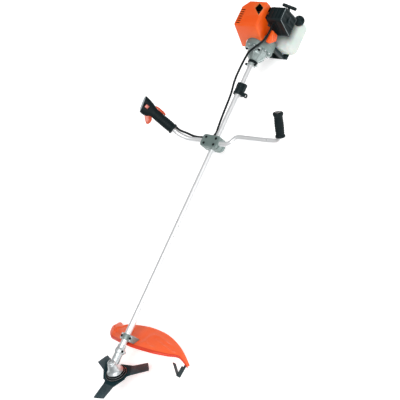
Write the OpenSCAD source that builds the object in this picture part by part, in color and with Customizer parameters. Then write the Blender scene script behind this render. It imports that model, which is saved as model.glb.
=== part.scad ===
// Petrol brush cutter with a three-tooth blade, bike-style handlebars and a two-stroke engine.
// Working frame: X runs along the shaft from the blade to the engine, Y points to the throttle side, Z is up.
// The shaft's axis meets the blade's axis at the working zero; placed() moves it to the harness eye.

/* [Shaft] */
// Outer diameter of the main tube
tube_d = 28; // [24:0.5:30]
// Wall of the main tube
tube_wall = 1.5; // [1:0.25:2.5]
// Length of the main tube
tube_len = 1500; // [1250:10:1800]
// Diameter of the drive shaft inside the tube
drive_d = 8; // [6:0.5:9]

/* [Cutting head] */
// Angle between the blade's axis and the vertical
head_angle = 30.5; // [28:0.5:33]
// Outer radius of the gear case
case_r = 23; // [22:0.5:27]
// Diameter over the blade's tips
blade_d = 300; // [230:5:330]
// Thickness of the blade
blade_t = 1.6; // [1.4:0.1:3]
// Width of one blade tooth at its tip
tooth_w = 53; // [35:1:60]
// Diameter of the blade's centre hole
blade_bore = 25.4; // [20:0.1:30]
// Diameter of the output spindle
spindle_d = 10; // [8:0.5:11]

/* [Guard] */
// Thickness of the guard's moulded sheet
guard_t = 3; // [2:0.5:4]
// Distance of the guard's bracket from the head, along the tube
guard_at = 122; // [118:1:150]

/* [Handlebar] */
// Distance of the handlebar clamp from the head, along the tube
clamp_at = 1087; // [900:5:1120]
// Outer diameter of the handlebar tubes
bar_d = 22; // [18:0.5:24]
// Wall of the handlebar tubes
bar_wall = 2; // [1.5:0.25:3]
// Length of the plain grip
grip_len = 112; // [90:2:160]
// Diameter of the rubber grips
grip_d = 40; // [34:1:44]

/* [Harness] */
// Distance of the harness bracket from the head, along the tube
harness_at = 1375; // [1300:5:1420]
// Diameter of the harness eye
eye_d = 11; // [9:0.5:13]
// Thickness of the harness lug
lug_t = 6; // [4:0.5:9]

/* [Engine] */
// Radius of the fan housing
fan_r = 66; // [64:1:67]
// Radius of the clutch drum
drum_r = 37; // [34:0.5:38]
// Cylinder bore
cyl_bore = 40; // [34:0.5:42]
// Piston stroke
stroke = 30; // [26:1:32]
// Wall of the orange cylinder cover
cover_wall = 2.5; // [2:0.25:4]
// Diameter of the fuel cap
fuel_cap_d = 48; // [40:1:50]
// Height of the shaft's axis above the ground
axis_height = 141; // [141:1:150]

/* [Hidden] */
$fn = 48;
eps = 0.01;
fit = 0.05;             // running fit on radius, also between pieces that are pressed home
gap = 0.4;              // free space between pieces that move past each other
tube_r = tube_d / 2;
drive_r = drive_d / 2;
bar_r = bar_d / 2;
grip_r = grip_d / 2;
floor_z = -axis_height;
tube_start = 39;        // the tube is pushed this far from the working zero
tube_end = tube_start + tube_len;
flange_x = tube_end + 40;
neck_r = tube_r + 5;
collar_end = 100;       // mouth of the gear case's tube socket
blade_top = -47;        // blade's upper face along its own axis
case_top = 26;
case_bottom = -30;
holder_r = 34;
bar_z = tube_r + bar_r + 1;
clamp_half = [30, 52];  // half length along the tube, half width across it
bolt_grid = [15, 30];
screw_r = 2.5;
cable_r = 4.5;
eye_at = [harness_at - 23, -(tube_r + 24), -10];
orange = "#F0561E";
coral = "#F4623C";
black = "#1E2224";
grey = "#8C9A98";
silver = "#C9CDCD";
steel = "#9DA3A8";

// Handlebar routes, from the middle of the clamp: x along the shaft, y across, z up.
left_bends = [[0, -2, 0], [0, -53, 0], [0, -62, 0], [3, -90, 0], [14, -108, 0], [33, -121, 0], [45, -139, 0],
              [49, -190, 0], [53, -265, 0], [57, -322, 0], [61, -350, 0], [67, -367, 5]];
left_foot = [79, -374, 18];
left_dir = unit([75, 0, 79]);
grip_from = 2;          // the plain grip starts this far above the bar's last bend
right_bends = [[0, 2, 0], [0, 53, 0], [0, 62, 0], [-4, 95, 5], [-9, 132, 16]];
right_foot = [3, 195, 63];
grip_dir = unit([50, 125, 133]);
bar_in_handle = 108;
left_route = concat(left_bends, [for (s = [0, grip_from, grip_from + grip_len / 2, grip_from + grip_len - 6])
    left_foot + s * left_dir]);
right_route = concat(right_bends, [for (s = [-32, 0, 50, bar_in_handle]) right_foot + s * grip_dir]);
// Throttle cable, from the handle to the carburettor.
cable_route = [[1107, 193, 92], [1099, 173, 71], [1100, 148, 50], [1097, 108, 34], [1106, 78, 16], [1122, 57, -2],
               [1130, 40, -8], [1150, 29, -5], [1178, 25, 3], [1244, 27, 8], [1335, 34, 8], [1375, 40, 10],
               [1406, 42, 15], [1440, 42, 18], [1471, 38, 22], [1500, 26, 33], [1521, 14, 43],
               [1545, -8, 58], [1581, -46, 63], [1604, -64, 63], [1630, -71, 61], [1673, -75, 62], [1699, -75, 62]];
// Guard, station by station across the blade: [across, front edge, its height, rear edge, its height].
guard_stations = [[208, 186, -6, 214, -6], [198, 170, -5, 232, -5], [180, 152, 0, 229, 0],
                  [160, 139, 5, 220, 5], [145, 131, 9, 217, 9], [126, 126, 13, 226, 12],
                  [62, 112, 30, 238, 20], [0, 104, 42, 248, 22], [-41, 106, 40, 253, 18],
                  [-90, 118, 30, 254, 12], [-138, 132, 20, 248, 2], [-190, 158, 2, 232, -8],
                  [-232, 180, -12, 212, -20], [-275, 172, -45, 186, -50]];
lip = 9;                // depth of the guard's front lip
// Black skirt under the guard's end, in plan.
skirt_post = [140, -258];
skirt_route = [[140, -258], [117, -258], [73, -252]];
cutter_route = [[73, -252], [119, -200]];
skirt_h = 24;
skirt_low_h = 10;       // where the skirt passes under the guard's lip
skirt_post_h = 10.5;    // its post ends inside the guard's sheet

// Where the throttle grip starts, and its three directions.
grip_start = [clamp_at, 0, bar_z] + right_foot;
palm_side = [0.94, -0.33, -0.05];
grip_back = unit(palm_side - grip_dir * (palm_side * grip_dir));
handle_len = 189;
trigger_pivot = [-17, 0, 150];
lockout_pivot = [20, 0, 134];

// Engine measures, from the clutch flange.
bolt_at = 37;
fan_front = 4;
fan_back = 61;
block_back = 137;
block_half = 36;
cyl_x = 98;
cyl_top = 104;
crank_r = 6;
web_r = stroke / 2 + 10;
recoil_back = 195;
recoil_r = 46;
filter_foot = 92;
filter_top = 120;
filter_back = 186;
filter_out = -140;
filter_in = -50;
filter_low = -6;
filter_high = 95;
cable_stop = 120;
primer_at = [150, -115, filter_low];
choke_pivot = [160, filter_out - gap, 46];
tank_box = [[62, -115, floor_z + 5], [221, 45, -50]];
cap_at = [203, -115.5, -46.5];
cap_dir = [0, -1, 1];
starter_at = [221, -105, 41];
pull_dir = unit([0.79, -0.36, 0.50]);
bar_dir = unit([0, -0.82, -0.57]);
plug_dir = unit([0.80, -0.33, 0.50]);
plug_base = [cyl_x + 10, -5, cyl_top - 4];

function unit(v) = v / norm(v);
function tangent(p, i) = unit(p[min(i + 1, len(p) - 1)] - p[max(i - 1, 0)]);
function ring(c, t, ref, r, n) = let (a = unit(cross(t, ref)), b = cross(a, t))
    [for (k = [0:n - 1]) c + r * (cos(360 * k / n) * a + sin(360 * k / n) * b)];
function curve(a, b, c, d, t) = 0.5 * (2 * b + (c - a) * t + (2 * a - 5 * b + 4 * c - d) * t * t
                                       + (3 * b - a - 3 * c + d) * t * t * t);
function smooth(p, n) = [for (i = [0:len(p) - 2], k = [0:n - 1])
    curve(p[max(i - 1, 0)], p[i], p[i + 1], p[min(i + 2, len(p) - 1)], k / n), p[len(p) - 1]];
function caps_and_sides(m, n) = concat([[for (k = [n - 1:-1:0]) k], [for (k = [0:n - 1]) (m - 1) * n + k]],
    [for (i = [0:m - 2], k = [0:n - 1]) [i * n + k, i * n + (k + 1) % n, (i + 1) * n + (k + 1) % n,
                                         (i + 1) * n + k]]);

// A round tube or rod along a list of points.
module swept(p, r, n, ref) {
    rings = [for (i = [0:len(p) - 1]) each ring(p[i], tangent(p, i), ref, r, n)];
    polyhedron(rings, caps_and_sides(len(p), n));
}
module placed() { translate(-eye_at) children(); }
module head_frame() { rotate([0, head_angle, 0]) children(); }
module engine_frame() { translate([flange_x, 0, 0]) children(); }
module bar_frame() { translate([clamp_at, 0, bar_z]) children(); }
module along_x(x0) { translate([x0, 0, 0]) rotate([0, 90, 0]) children(); }
module aimed(at, dir) {
    translate(at) rotate([0, acos(dir[2] / norm(dir)), atan2(dir[1], dir[0])]) children();
}
module rod(a, b, r) { aimed(a, b - a) cylinder(h = norm(b - a), r = r); }
module handle_frame() {
    side = cross(grip_dir, grip_back);
    multmatrix([for (k = [0:2]) [grip_back[k], side[k], grip_dir[k], grip_start[k]]]) children();
}
module pipe(h, outer, inner) {
    difference() {
        cylinder(h = h, r = outer);
        translate([0, 0, -1]) cylinder(h = h + 2, r = inner);
    }
}
module slab(low, high) { translate(low) cube(high - low); }
// A block whose four long edges, along X, are rounded.
module rounded_slab(low, high, r) {
    size = high - low;
    translate([low[0], (low[1] + high[1]) / 2, (low[2] + high[2]) / 2]) rotate([90, 0, 90])
        linear_extrude(size[0]) {
            square([size[1] - 2 * r, size[2]], center = true);
            square([size[1], size[2] - 2 * r], center = true);
            for (y = [-1, 1], z = [-1, 1]) translate([y * (size[1] / 2 - r), z * (size[2] / 2 - r)]) circle(r = r);
        }
}
// A screw pointing along -Z with its head above the zero.
module screw(r, length) {
    translate([0, 0, -length]) cylinder(h = length + eps, r = r);
    difference() {
        cylinder(h = 1.2 * r, r = 1.8 * r);
        translate([0, 0, 0.5 * r]) cylinder(h = r, r = 0.9 * r, $fn = 6);
    }
}

// ---- Shaft
module main_tube() {
    color(silver) placed() along_x(tube_start) pipe(tube_len, tube_r, tube_r - tube_wall);
}
drive_start = 20;
drive_end = flange_x - 24;
module drive_shaft() {
    color(steel) placed() along_x(drive_start) cylinder(h = drive_end - drive_start, r = drive_r);
}
module shaft_bushings() {
    color(black) placed() for (k = [1:4])
        along_x(tube_start + k * tube_len / 5) pipe(24, tube_r - tube_wall, drive_r + fit);
}

// ---- Cutting head
bearing_x = 28;
top_bearing_z = 12;
low_bearing_z = case_bottom + 1;
case_bore_r = case_r - 5;
module gear_case() {
    color(silver) placed() difference() {
        union() {
            head_frame() {
                translate([0, 0, case_bottom]) cylinder(h = case_top - case_bottom, r = case_r);
                translate([0, 0, case_bottom]) cylinder(h = 6, r = case_r + 13);
                translate([0, 0, case_top - eps]) cylinder(h = 2, r = case_r - 9);
            }
            along_x(6) cylinder(h = collar_end - 6, r = neck_r);
            slab([64, -neck_r - 8, -7], [80, -tube_r - 2, 7]);
        }
        head_frame() {
            translate([0, 0, -24]) cylinder(h = 24 + top_bearing_z, r = case_bore_r);
            translate([0, 0, case_bottom - 1]) cylinder(h = 12, r = 13);
            translate([0, 0, top_bearing_z - 1]) cylinder(h = 9, r = 9);
            translate([0, 0, 19]) cylinder(h = 20, r = 4);
        }
        along_x(8) cylinder(h = 30, r = 11);
        along_x(tube_start - 1) cylinder(h = collar_end, r = tube_r + fit);
        translate([72, -neck_r - 4, -9]) cylinder(h = 20, r = screw_r + fit);
        slab([60, -neck_r - 9, -1], [collar_end + 1, 0, 1]);
    }
}
module grease_plug() {
    color(steel) placed() head_frame() translate([0, 0, 21]) {
        cylinder(h = 7.1, r = 4 - fit);
        translate([0, 0, 7]) cylinder(h = 3, r = 8, $fn = 6);
    }
}
module bearings() {
    color(steel) placed() {
        along_x(bearing_x) pipe(tube_start - 1 - bearing_x, 11, drive_r + fit);
        head_frame() translate([0, 0, top_bearing_z]) pipe(8, 9, spindle_d / 2 + fit);
        head_frame() translate([0, 0, low_bearing_z]) pipe(8, 13, spindle_d / 2 + fit);
    }
}
module pinion_gear() {
    color(steel) placed() along_x(11) difference() {
        cylinder(h = 9, r1 = 3.4, r2 = 6.2);
        for (k = [0:9]) rotate([0, 0, 36 * k]) translate([6.4, 0, -1]) cylinder(h = 12, r = 1, $fn = 12);
    }
}
module crown_gear() {
    color(steel) placed() head_frame() difference() {
        union() {
            translate([0, 0, -8]) cylinder(h = 7, r = 17);
            translate([0, 0, -1 - eps]) rotate_extrude()
                polygon([[8, 0], [17, 0], [17, 3.6], [8, 1.2]]);
        }
        translate([0, 0, -9]) cylinder(h = 20, r = spindle_d / 2 + fit);
    }
}
nut_z = blade_top - blade_t - 16;
module output_spindle() {
    color(steel) placed() head_frame() translate([0, 0, nut_z - 5])
        cylinder(h = top_bearing_z + 5 - nut_z + 5, r = spindle_d / 2);
}
module blade_holder() {
    color(black) placed() head_frame() difference() {
        union() {
            translate([0, 0, blade_top]) cylinder(h = 6, r = holder_r + 14);
            translate([0, 0, blade_top + 5.9]) cylinder(h = 5.1, r = holder_r + 6);
            translate([0, 0, blade_top + 10.9]) cylinder(h = case_bottom - gap - blade_top - 10.9, r = holder_r - 12);
            translate([0, 0, blade_top - blade_t]) cylinder(h = blade_t + 1, r = blade_bore / 2 - fit);
        }
        translate([0, 0, blade_top - 5]) cylinder(h = 40, r = spindle_d / 2 + fit);
    }
}
module tooth(angle) {
    rotate([0, 0, angle]) polygon([[20, -tooth_w * 0.7], [blade_d / 2 * 0.42, -tooth_w * 0.57],
        [blade_d / 2, -tooth_w * 0.58], [blade_d / 2 - 6, tooth_w * 0.42],
        [blade_d / 2 * 0.5, tooth_w * 0.54], [20, tooth_w * 1.1]]);
}
module blade() {
    color("#24323A") placed() head_frame() translate([0, 0, blade_top - blade_t]) linear_extrude(blade_t)
        difference() {
            intersection() {
                union() {
                    circle(r = 58);
                    for (k = [0:2]) tooth(-46 + 120 * k);
                }
                circle(r = blade_d / 2, $fn = 120);
            }
            circle(r = blade_bore / 2);
        }
}
module blade_washer() {
    color(steel) placed() head_frame() translate([0, 0, blade_top - blade_t - 4])
        pipe(4, 26, spindle_d / 2 + fit);
}
module nut_cover() {
    color(black) placed() head_frame() translate([0, 0, nut_z - 4]) difference() {
        cylinder(h = 16, r1 = 17, r2 = 30);
        translate([0, 0, -1]) cylinder(h = 14, r = 13);
        cylinder(h = 20, r = spindle_d / 2 + fit);
    }
}
module blade_nut() {
    color(steel) placed() head_frame() translate([0, 0, nut_z]) difference() {
        cylinder(h = 9, r = 9.5, $fn = 6);
        translate([0, 0, -1]) cylinder(h = 11, r = spindle_d / 2 + fit);
    }
}

// ---- Guard
function floor_at(u) = (floor_z + u * sin(head_angle)) / cos(head_angle);
function guard_ring(s) = let (low = floor_at(s[3] + guard_t)) [
    [s[1], s[0], s[2] - lip], [s[1], s[0], s[2]], [s[3], s[0], s[4]], [s[3] + guard_t, s[0], min(low, s[4] - 1)],
    [s[3] - 1, s[0], min(floor_at(s[3] - 1), s[4] - 1)], [s[3] - 2, s[0], s[4] - guard_t],
    [s[1] + guard_t, s[0], s[2] - guard_t], [s[1] + guard_t, s[0], s[2] - lip]];
function end_faces(at) = [[at, at + 1, at + 6, at + 7], [at + 1, at + 2, at + 5, at + 6],
                          [at + 2, at + 3, at + 4, at + 5]];
function flipped(faces) = [for (f = faces) [for (k = [len(f) - 1:-1:0]) f[k]]];
function wall_faces(m, n) = [for (i = [0:m - 2], k = [0:n - 1])
    let (a = i * n + k, b = i * n + (k + 1) % n) each [[a, b, b + n], [a, b + n, a + n]]];
module guard_shell() {
    count = len(guard_stations);
    faces = concat(flipped(end_faces(0)), wall_faces(count, 8), end_faces(8 * (count - 1)));
    head_frame() polyhedron([for (s = guard_stations) each guard_ring(s)], faces);
}
module guard() { color(coral) placed() guard_shell(); }
guard_front = [104, 42];
guard_rear = [248, 22];
function guard_point(p) = [p[0] * cos(head_angle) + p[1] * sin(head_angle),
                           -p[0] * sin(head_angle) + p[1] * cos(head_angle)];
function guard_surface(x) = let (a = guard_point(guard_front), b = guard_point(guard_rear))
    a[1] + (b[1] - a[1]) * (x - a[0]) / (b[0] - a[0]);
bracket_len = 30;
ear = tube_r + 20;
module guard_bracket() {
    color(grey) placed() difference() {
        translate([0, ear, 0]) rotate([90, 0, 0]) linear_extrude(2 * ear) polygon([[guard_at, -2],
            [guard_at + bracket_len, -2], [guard_at + bracket_len, guard_surface(guard_at + bracket_len)],
            [guard_at, guard_surface(guard_at)]]);
        along_x(guard_at - 1) cylinder(h = bracket_len + 2, r = tube_r + fit);
        for (s = [-1, 1]) translate([guard_at + bracket_len / 2, s * (tube_r + 12), -26])
            cylinder(h = 40, r = screw_r + fit);
    }
}
module guard_clamp() {
    color(grey) placed() difference() {
        union() {
            along_x(guard_at + 2) cylinder(h = bracket_len - 4, r = tube_r + 3);
            slab([guard_at + 2, -ear, -2], [guard_at + bracket_len - 2, ear, 2]);
        }
        along_x(guard_at - 1) cylinder(h = bracket_len + 2, r = tube_r + fit);
        slab([guard_at, -ear - 1, -40], [guard_at + bracket_len, ear + 1, -2]);
        for (s = [-1, 1]) translate([guard_at + bracket_len / 2, s * (tube_r + 12), -30])
            cylinder(h = 40, r = screw_r + fit);
    }
}
module strip(a, b, wide) {
    along = unit(b - a);
    across = [-along[1], along[0]] * wide / 2;
    polygon([a + across, a - across, b - across, b + across]);
}
module skirt_wall(extra) {
    strip(skirt_route[1], skirt_route[2], 4 + 2 * extra);
    for (p = [skirt_route[1], skirt_route[2]]) translate(p) circle(r = 2 + extra, $fn = 16);
}
module guard_skirt() {
    color(black) placed() difference() {
        translate([0, 0, floor_z]) union() {
            linear_extrude(skirt_low_h) strip(skirt_route[0], skirt_route[1], 4);
            linear_extrude(skirt_h) skirt_wall(0);
            translate(skirt_post) cylinder(h = skirt_post_h, r = 4);
        }
        guard_shell();
    }
}
module line_cutter() {
    color(black) placed() translate([0, 0, floor_z + 2]) linear_extrude(skirt_h - 4) difference() {
        strip(cutter_route[0], cutter_route[1], 3);
        skirt_wall(fit);
    }
}

// ---- Screws that close the gear case, the guard bracket, the harness bracket and the clutch collar
collar_screw = [flange_x - 74, tube_r + 13];
module clamp_screws() {
    color(black) placed() {
        translate([72, -neck_r - 4, 7]) screw(screw_r, 13);
        for (s = [-1, 1]) {
            translate([guard_at + bracket_len / 2, s * (tube_r + 12), 2]) screw(screw_r, 24);
            for (t = [-1, 1]) translate([harness_at + 18 * t, s * (tube_r + 6), 7]) screw(screw_r, 14);
            translate([collar_screw[0], s * collar_screw[1], 7]) screw(screw_r, 13);
        }
    }
}

// ---- Handlebar clamp: base under the tube, middle between tube and bars, cap over the bars
module clamp_block(low, high, corner) {
    translate([0, 0, low]) linear_extrude(high - low) offset(r = corner)
        square(2 * [clamp_half[0] - corner, clamp_half[1] - corner], center = true);
}
module clamp_bolt_holes() {
    for (s = [-1, 1], t = [-1, 1]) translate([clamp_at + s * bolt_grid[0], t * bolt_grid[1], -60])
        cylinder(h = 160, r = 3 + fit);
}
module bar_clamp_base() {
    color(grey) placed() difference() {
        union() {
            translate([clamp_at, 0, 0]) clamp_block(-8, -1, 14);
            translate([clamp_at, 0, 0]) clamp_block(-tube_r - 6, -7.9, 22);
        }
        along_x(clamp_at - 40) cylinder(h = 80, r = tube_r + fit);
        clamp_bolt_holes();
    }
}
module bar_clamp_middle() {
    color(grey) placed() difference() {
        translate([clamp_at, 0, 0]) clamp_block(1, bar_z - 1, 14);
        along_x(clamp_at - 40) cylinder(h = 80, r = tube_r + fit);
        translate([clamp_at, 60, bar_z]) rotate([90, 0, 0]) cylinder(h = 120, r = bar_r + fit);
        clamp_bolt_holes();
    }
}
module bar_clamp_cap() {
    color(grey) placed() difference() {
        union() {
            translate([clamp_at, 0, 0]) clamp_block(bar_z + 1, bar_z + bar_r + 2, 14);
            translate([clamp_at, 0, 0]) clamp_block(bar_z + bar_r + 1.9, bar_z + bar_r + 5, 16);
        }
        translate([clamp_at, 60, bar_z]) rotate([90, 0, 0]) cylinder(h = 120, r = bar_r + fit);
        clamp_bolt_holes();
        for (s = [-1, 1], t = [-1, 1])
            translate([clamp_at + s * bolt_grid[0], t * bolt_grid[1], bar_z + bar_r + 2]) cylinder(h = 9, r = 6);
    }
}
module bar_clamp_bolts() {
    color(black) placed() for (s = [-1, 1], t = [-1, 1])
        translate([clamp_at + s * bolt_grid[0], t * bolt_grid[1], bar_z + bar_r + 2]) screw(3, bar_z + bar_r + 12);
}
bar_sides = 18;
// An open-ended tube: outer rings, then inner rings, joined by two flat ends.
module bent_bar(route) {
    path = smooth(route, 3);
    count = len(path);
    inner = count * bar_sides;
    last = (count - 1) * bar_sides;
    rings = [for (r = [bar_r, bar_r - bar_wall], i = [0:count - 1])
        each ring(path[i], tangent(path, i), [1, 0, 0], r, bar_sides)];
    outer_faces = wall_faces(count, bar_sides);
    inner_faces = [for (f = flipped(outer_faces)) [for (k = f) k + inner]];
    end_faces = [for (k = [0:bar_sides - 1]) let (n = (k + 1) % bar_sides)
        each [[k, k + inner, n + inner, n], [k + last, n + last, n + last + inner, k + last + inner]]];
    polyhedron(rings, concat(outer_faces, inner_faces, end_faces));
}
module left_handlebar() { color(silver) placed() bar_frame() bent_bar(left_route); }
module right_handlebar() { color(silver) placed() bar_frame() bent_bar(right_route); }
module left_grip() {
    color(black) placed() bar_frame() aimed(left_foot + grip_from * left_dir, left_dir) difference() {
        rotate_extrude() polygon([[0, 0], [grip_r + 2, 0], [grip_r + 2, 9], [grip_r - 2, 14],
            [grip_r, grip_len * 0.6], [grip_r - 1, grip_len - 22], [grip_r + 3, grip_len - 12],
            [grip_r + 3, grip_len - 2], [grip_r + 1, grip_len], [0, grip_len]]);
        translate([0, 0, -1]) cylinder(h = grip_len - 5, r = bar_r + fit);
    }
}

// ---- Throttle handle: z along the grip, +x towards the operator's palm, -y towards the operator's eye
head_low = 132;
module throttle_grip() {
    color(black) placed() handle_frame() difference() {
        union() {
            cylinder(h = 12, r = grip_r + 3);
            translate([0, 0, 11.9]) cylinder(h = head_low - 6, r = grip_r);
            hull() {
                translate([0, 0, head_low - 10]) cylinder(h = 4, r = grip_r - 1, $fn = 32);
                translate([12, 0, handle_len - 26]) cylinder(h = 26, r = 20, $fn = 32);
                translate([-16, 0, handle_len - 14]) cylinder(h = 14, r = 20, $fn = 32);
            }
        }
        translate([0, 0, -1]) cylinder(h = bar_in_handle + 1, r = bar_r + fit);
        translate([16.5, 0, -1]) cylinder(h = 9, r = cable_r + 1);
        slab([-50, -6.5, trigger_pivot[2] - 42], [-10, 6.5, trigger_pivot[2] + 8]);
        slab([11, -6.5, lockout_pivot[2] - 66], [50, 6.5, lockout_pivot[2] + 7]);
        slab([-9, -30, 150], [9, -14 + gap, 178]);
        translate([trigger_pivot[0], 30, trigger_pivot[2]]) rotate([90, 0, 0]) cylinder(h = 60, r = 2);
        translate([lockout_pivot[0], 30, lockout_pivot[2]]) rotate([90, 0, 0]) cylinder(h = 60, r = 2);
    }
}
module lever(outline, pivot) {
    rotate([90, 0, 0]) translate([0, 0, -5]) linear_extrude(10) polygon(outline);
    translate(pivot + [0, 13, 0]) rotate([90, 0, 0]) cylinder(h = 26, r = 2 - fit);
}
module throttle_trigger() {
    color(orange) placed() handle_frame() lever([[-12, 154], [-22, 156], [-38, 150], [-56, 128],
        [-46, 120], [-30, 124], [-17, 136]], trigger_pivot);
}
module lockout_lever() {
    color(orange) placed() handle_frame() lever([[15, 138], [24, 139], [33, 122], [33, 84], [28, 72],
        [23, 76], [21, 116], [14, 128]], lockout_pivot);
}
module stop_switch() {
    color("#E0321E") placed() handle_frame() union() {
        slab([-8, -18, 151], [8, -14, 172]);
        slab([-6, -25, 154], [6, -17, 166]);
    }
}
module throttle_cable() { color(black) placed() swept(smooth(cable_route, 3), cable_r, 10, [0, 0, 1]); }

// ---- Harness bracket
module harness_bracket() {
    color(black) placed() difference() {
        union() {
            along_x(harness_at - 28) cylinder(h = 56, r = tube_r + 9);
            slab([harness_at - 28, -tube_r - 12, -7], [harness_at + 28, tube_r + 12, 0]);
            slab([eye_at[0] - 9, eye_at[1] - lug_t / 2, -4], [eye_at[0] + 9, -tube_r - 10, 0]);
            translate(eye_at + [0, lug_t / 2, 0]) rotate([90, 0, 0]) cylinder(h = lug_t, r = eye_d / 2 + 5);
        }
        slab([harness_at - 40, -70, 0], [harness_at + 40, 70, 60]);
        along_x(harness_at - 40) cylinder(h = 80, r = tube_r + fit);
        translate([eye_at[0], -tube_r - 12, eye_at[2]]) rotate([90, 0, 0]) cylinder(h = 40, r = eye_d / 2);
        translate(eye_at + [0, lug_t / 2, 0]) rotate([-90, 0, 0]) cylinder(h = 14, r = eye_d / 2 + 0.5);
        for (s = [-1, 1], t = [-1, 1]) translate([harness_at + 18 * t, s * (tube_r + 6), -30])
            cylinder(h = 40, r = screw_r + fit);
    }
}
module harness_clamp_cap() {
    color(black) placed() difference() {
        union() {
            along_x(harness_at - 28) cylinder(h = 56, r = tube_r + 9);
            slab([harness_at - 28, -tube_r - 12, 1], [harness_at + 28, tube_r + 12, 7]);
        }
        slab([harness_at - 40, -70, -60], [harness_at + 40, 70, 1]);
        along_x(harness_at - 40) cylinder(h = 80, r = tube_r + fit);
        for (s = [-1, 1], t = [-1, 1]) translate([harness_at + 18 * t, s * (tube_r + 6), 0]) {
            translate([0, 0, -30]) cylinder(h = 60, r = screw_r + fit);
            translate([0, 0, 7]) cylinder(h = 20, r = 1.8 * screw_r + fit);
        }
    }
}

// ---- Clutch
drum_wall = 2.5;
boss_r = 9;
module clutch_housing() {
    color(silver) placed() engine_frame() difference() {
        union() {
            along_x(-79) cylinder(h = 30, r = tube_r + 6);
            along_x(-52) cylinder(h = 28, r1 = tube_r + 8, r2 = drum_r + 7);
            along_x(-25) cylinder(h = 25, r = drum_r + 8);
            for (y = [-1, 1], z = [-1, 1]) translate([0, y * bolt_at, z * bolt_at]) along_x(-8) cylinder(h = 8, r = 10);
            slab([-79, -tube_r - 18, -7], [-69, tube_r + 18, 7]);
            for (k = [0:7]) rotate([45 * k + 22, 0, 0]) rotate([90, 0, 0]) linear_extrude(3, center = true)
                polygon([[-52, tube_r + 4], [-10, drum_r + 6], [-2, drum_r + 6], [-2, drum_r + 11], [-24, drum_r + 10]]);
        }
        along_x(-80) cylinder(h = 40, r = tube_r + fit);
        along_x(-41) cylinder(h = 20, r = boss_r + fit);
        along_x(-28) cylinder(h = 30, r = drum_r + 2.5);
        for (y = [-1, 1], z = [-1, 1]) translate([0, y * bolt_at, z * bolt_at]) along_x(-9) cylinder(h = 10, r = 3 + fit);
        for (y = [-1, 1]) translate([-74, y * (tube_r + 13), -9]) cylinder(h = 20, r = screw_r + fit);
    }
}
module rubber_collar() {
    color(black) placed() engine_frame() along_x(-66) pipe(12, tube_r + 9, tube_r + 6 + fit);
}
module engine_bolts() {
    color(black) placed() engine_frame() for (y = [-1, 1], z = [-1, 1])
        translate([-8, y * bolt_at, z * bolt_at]) rotate([0, -90, 0]) screw(3, 11.5);
}
module clutch_drum() {
    color(steel) placed() engine_frame() difference() {
        union() {
            along_x(-26) cylinder(h = 24, r = drum_r);
            along_x(-37) cylinder(h = 12, r = boss_r);
        }
        along_x(-26 + 3) cylinder(h = 24, r = drum_r - drum_wall);
        along_x(-38) cylinder(h = 20, r = drive_r + fit);
    }
}
module clutch_shoes() {
    color(steel) placed() engine_frame() difference() {
        along_x(-18) cylinder(h = 13, r = drum_r - drum_wall - 1);
        along_x(-19) cylinder(h = 20, r = crank_r + fit);
        slab([-19, -1.5, -60], [0, 1.5, -crank_r - 5]);
        slab([-19, -1.5, crank_r + 5], [0, 1.5, 60]);
    }
}

// ---- Engine
web_gap = 6;            // half the space between the crank webs
module crankshaft() {
    color(steel) placed() engine_frame() {
        along_x(-18) cylinder(h = 18 + cyl_x - web_gap, r = crank_r);
        along_x(cyl_x - web_gap - 8) cylinder(h = 8, r = web_r);
        along_x(cyl_x + web_gap) cylinder(h = 8, r = web_r);
        along_x(cyl_x + web_gap) cylinder(h = 50, r = crank_r);
    }
}
module flywheel() {
    color(steel) placed() engine_frame() difference() {
        union() {
            along_x(38) cylinder(h = 6, r = fan_r - 14);
            along_x(14) cylinder(h = 28, r = 14);
            for (k = [0:11]) rotate([30 * k, 0, 0]) slab([16, 20, -1.2], [39, fan_r - 16, 1.2]);
        }
        along_x(12) cylinder(h = 40, r = crank_r + fit);
    }
}
module crankcase() {
    color(grey) placed() engine_frame() difference() {
        union() {
            along_x(fan_front) cylinder(h = fan_back - fan_front, r = fan_r);
            along_x(0) cylinder(h = fan_front + 1, r = drum_r + 10);
            for (y = [-1, 1], z = [-1, 1]) translate([0, y * bolt_at, z * bolt_at]) along_x(0) cylinder(h = 8, r = 10);
            slab([fan_back - 1, -block_half, -40], [block_back, block_half, 36]);
        }
        along_x(fan_front + 5) cylinder(h = fan_back - fan_front - 10, r = fan_r - 9);
        along_x(-1) cylinder(h = 12, r = 20);
        along_x(fan_back - 10) cylinder(h = 120, r = crank_r + fit);
        along_x(cyl_x - 24) cylinder(h = 48, r = web_r + 2);
        translate([cyl_x, 0, 0]) cylinder(h = 60, r = cyl_bore / 2 + 1);
        for (y = [-1, 1], z = [-1, 1]) translate([0, y * bolt_at, z * bolt_at]) along_x(-1) cylinder(h = 5, r = 3 + fit);
    }
}
module cylinder_body() {
    translate([cyl_x, 0, 36]) cylinder(h = cyl_top - 36, r = cyl_bore / 2 + 6);
    for (k = [0:7]) translate([cyl_x, 0, 42 + 7.8 * k]) linear_extrude(2.5) offset(r = 8)
        square([cyl_bore + 16, cyl_bore + 10], center = true);
    rod([cyl_x, 0, 60], [cyl_x, 43.5, 60], 11);
}
module cylinder_node() {
    color(silver) placed() engine_frame() difference() {
        cylinder_body();
        translate([cyl_x, 0, 30]) cylinder(h = cyl_top - 36, r = cyl_bore / 2);
        rod(plug_base - plug_dir * 12, plug_base + plug_dir * 40, 6);
    }
}
piston_z = 60;
module piston() {
    color(silver) placed() engine_frame() difference() {
        translate([cyl_x, 0, piston_z]) cylinder(h = 30, r = cyl_bore / 2 - fit);
        translate([cyl_x, 0, piston_z - 1]) cylinder(h = 25, r = cyl_bore / 2 - 5);
        translate([0, 0, piston_z + 12]) along_x(cyl_x - 40) cylinder(h = 80, r = 4 + fit);
    }
}
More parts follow.
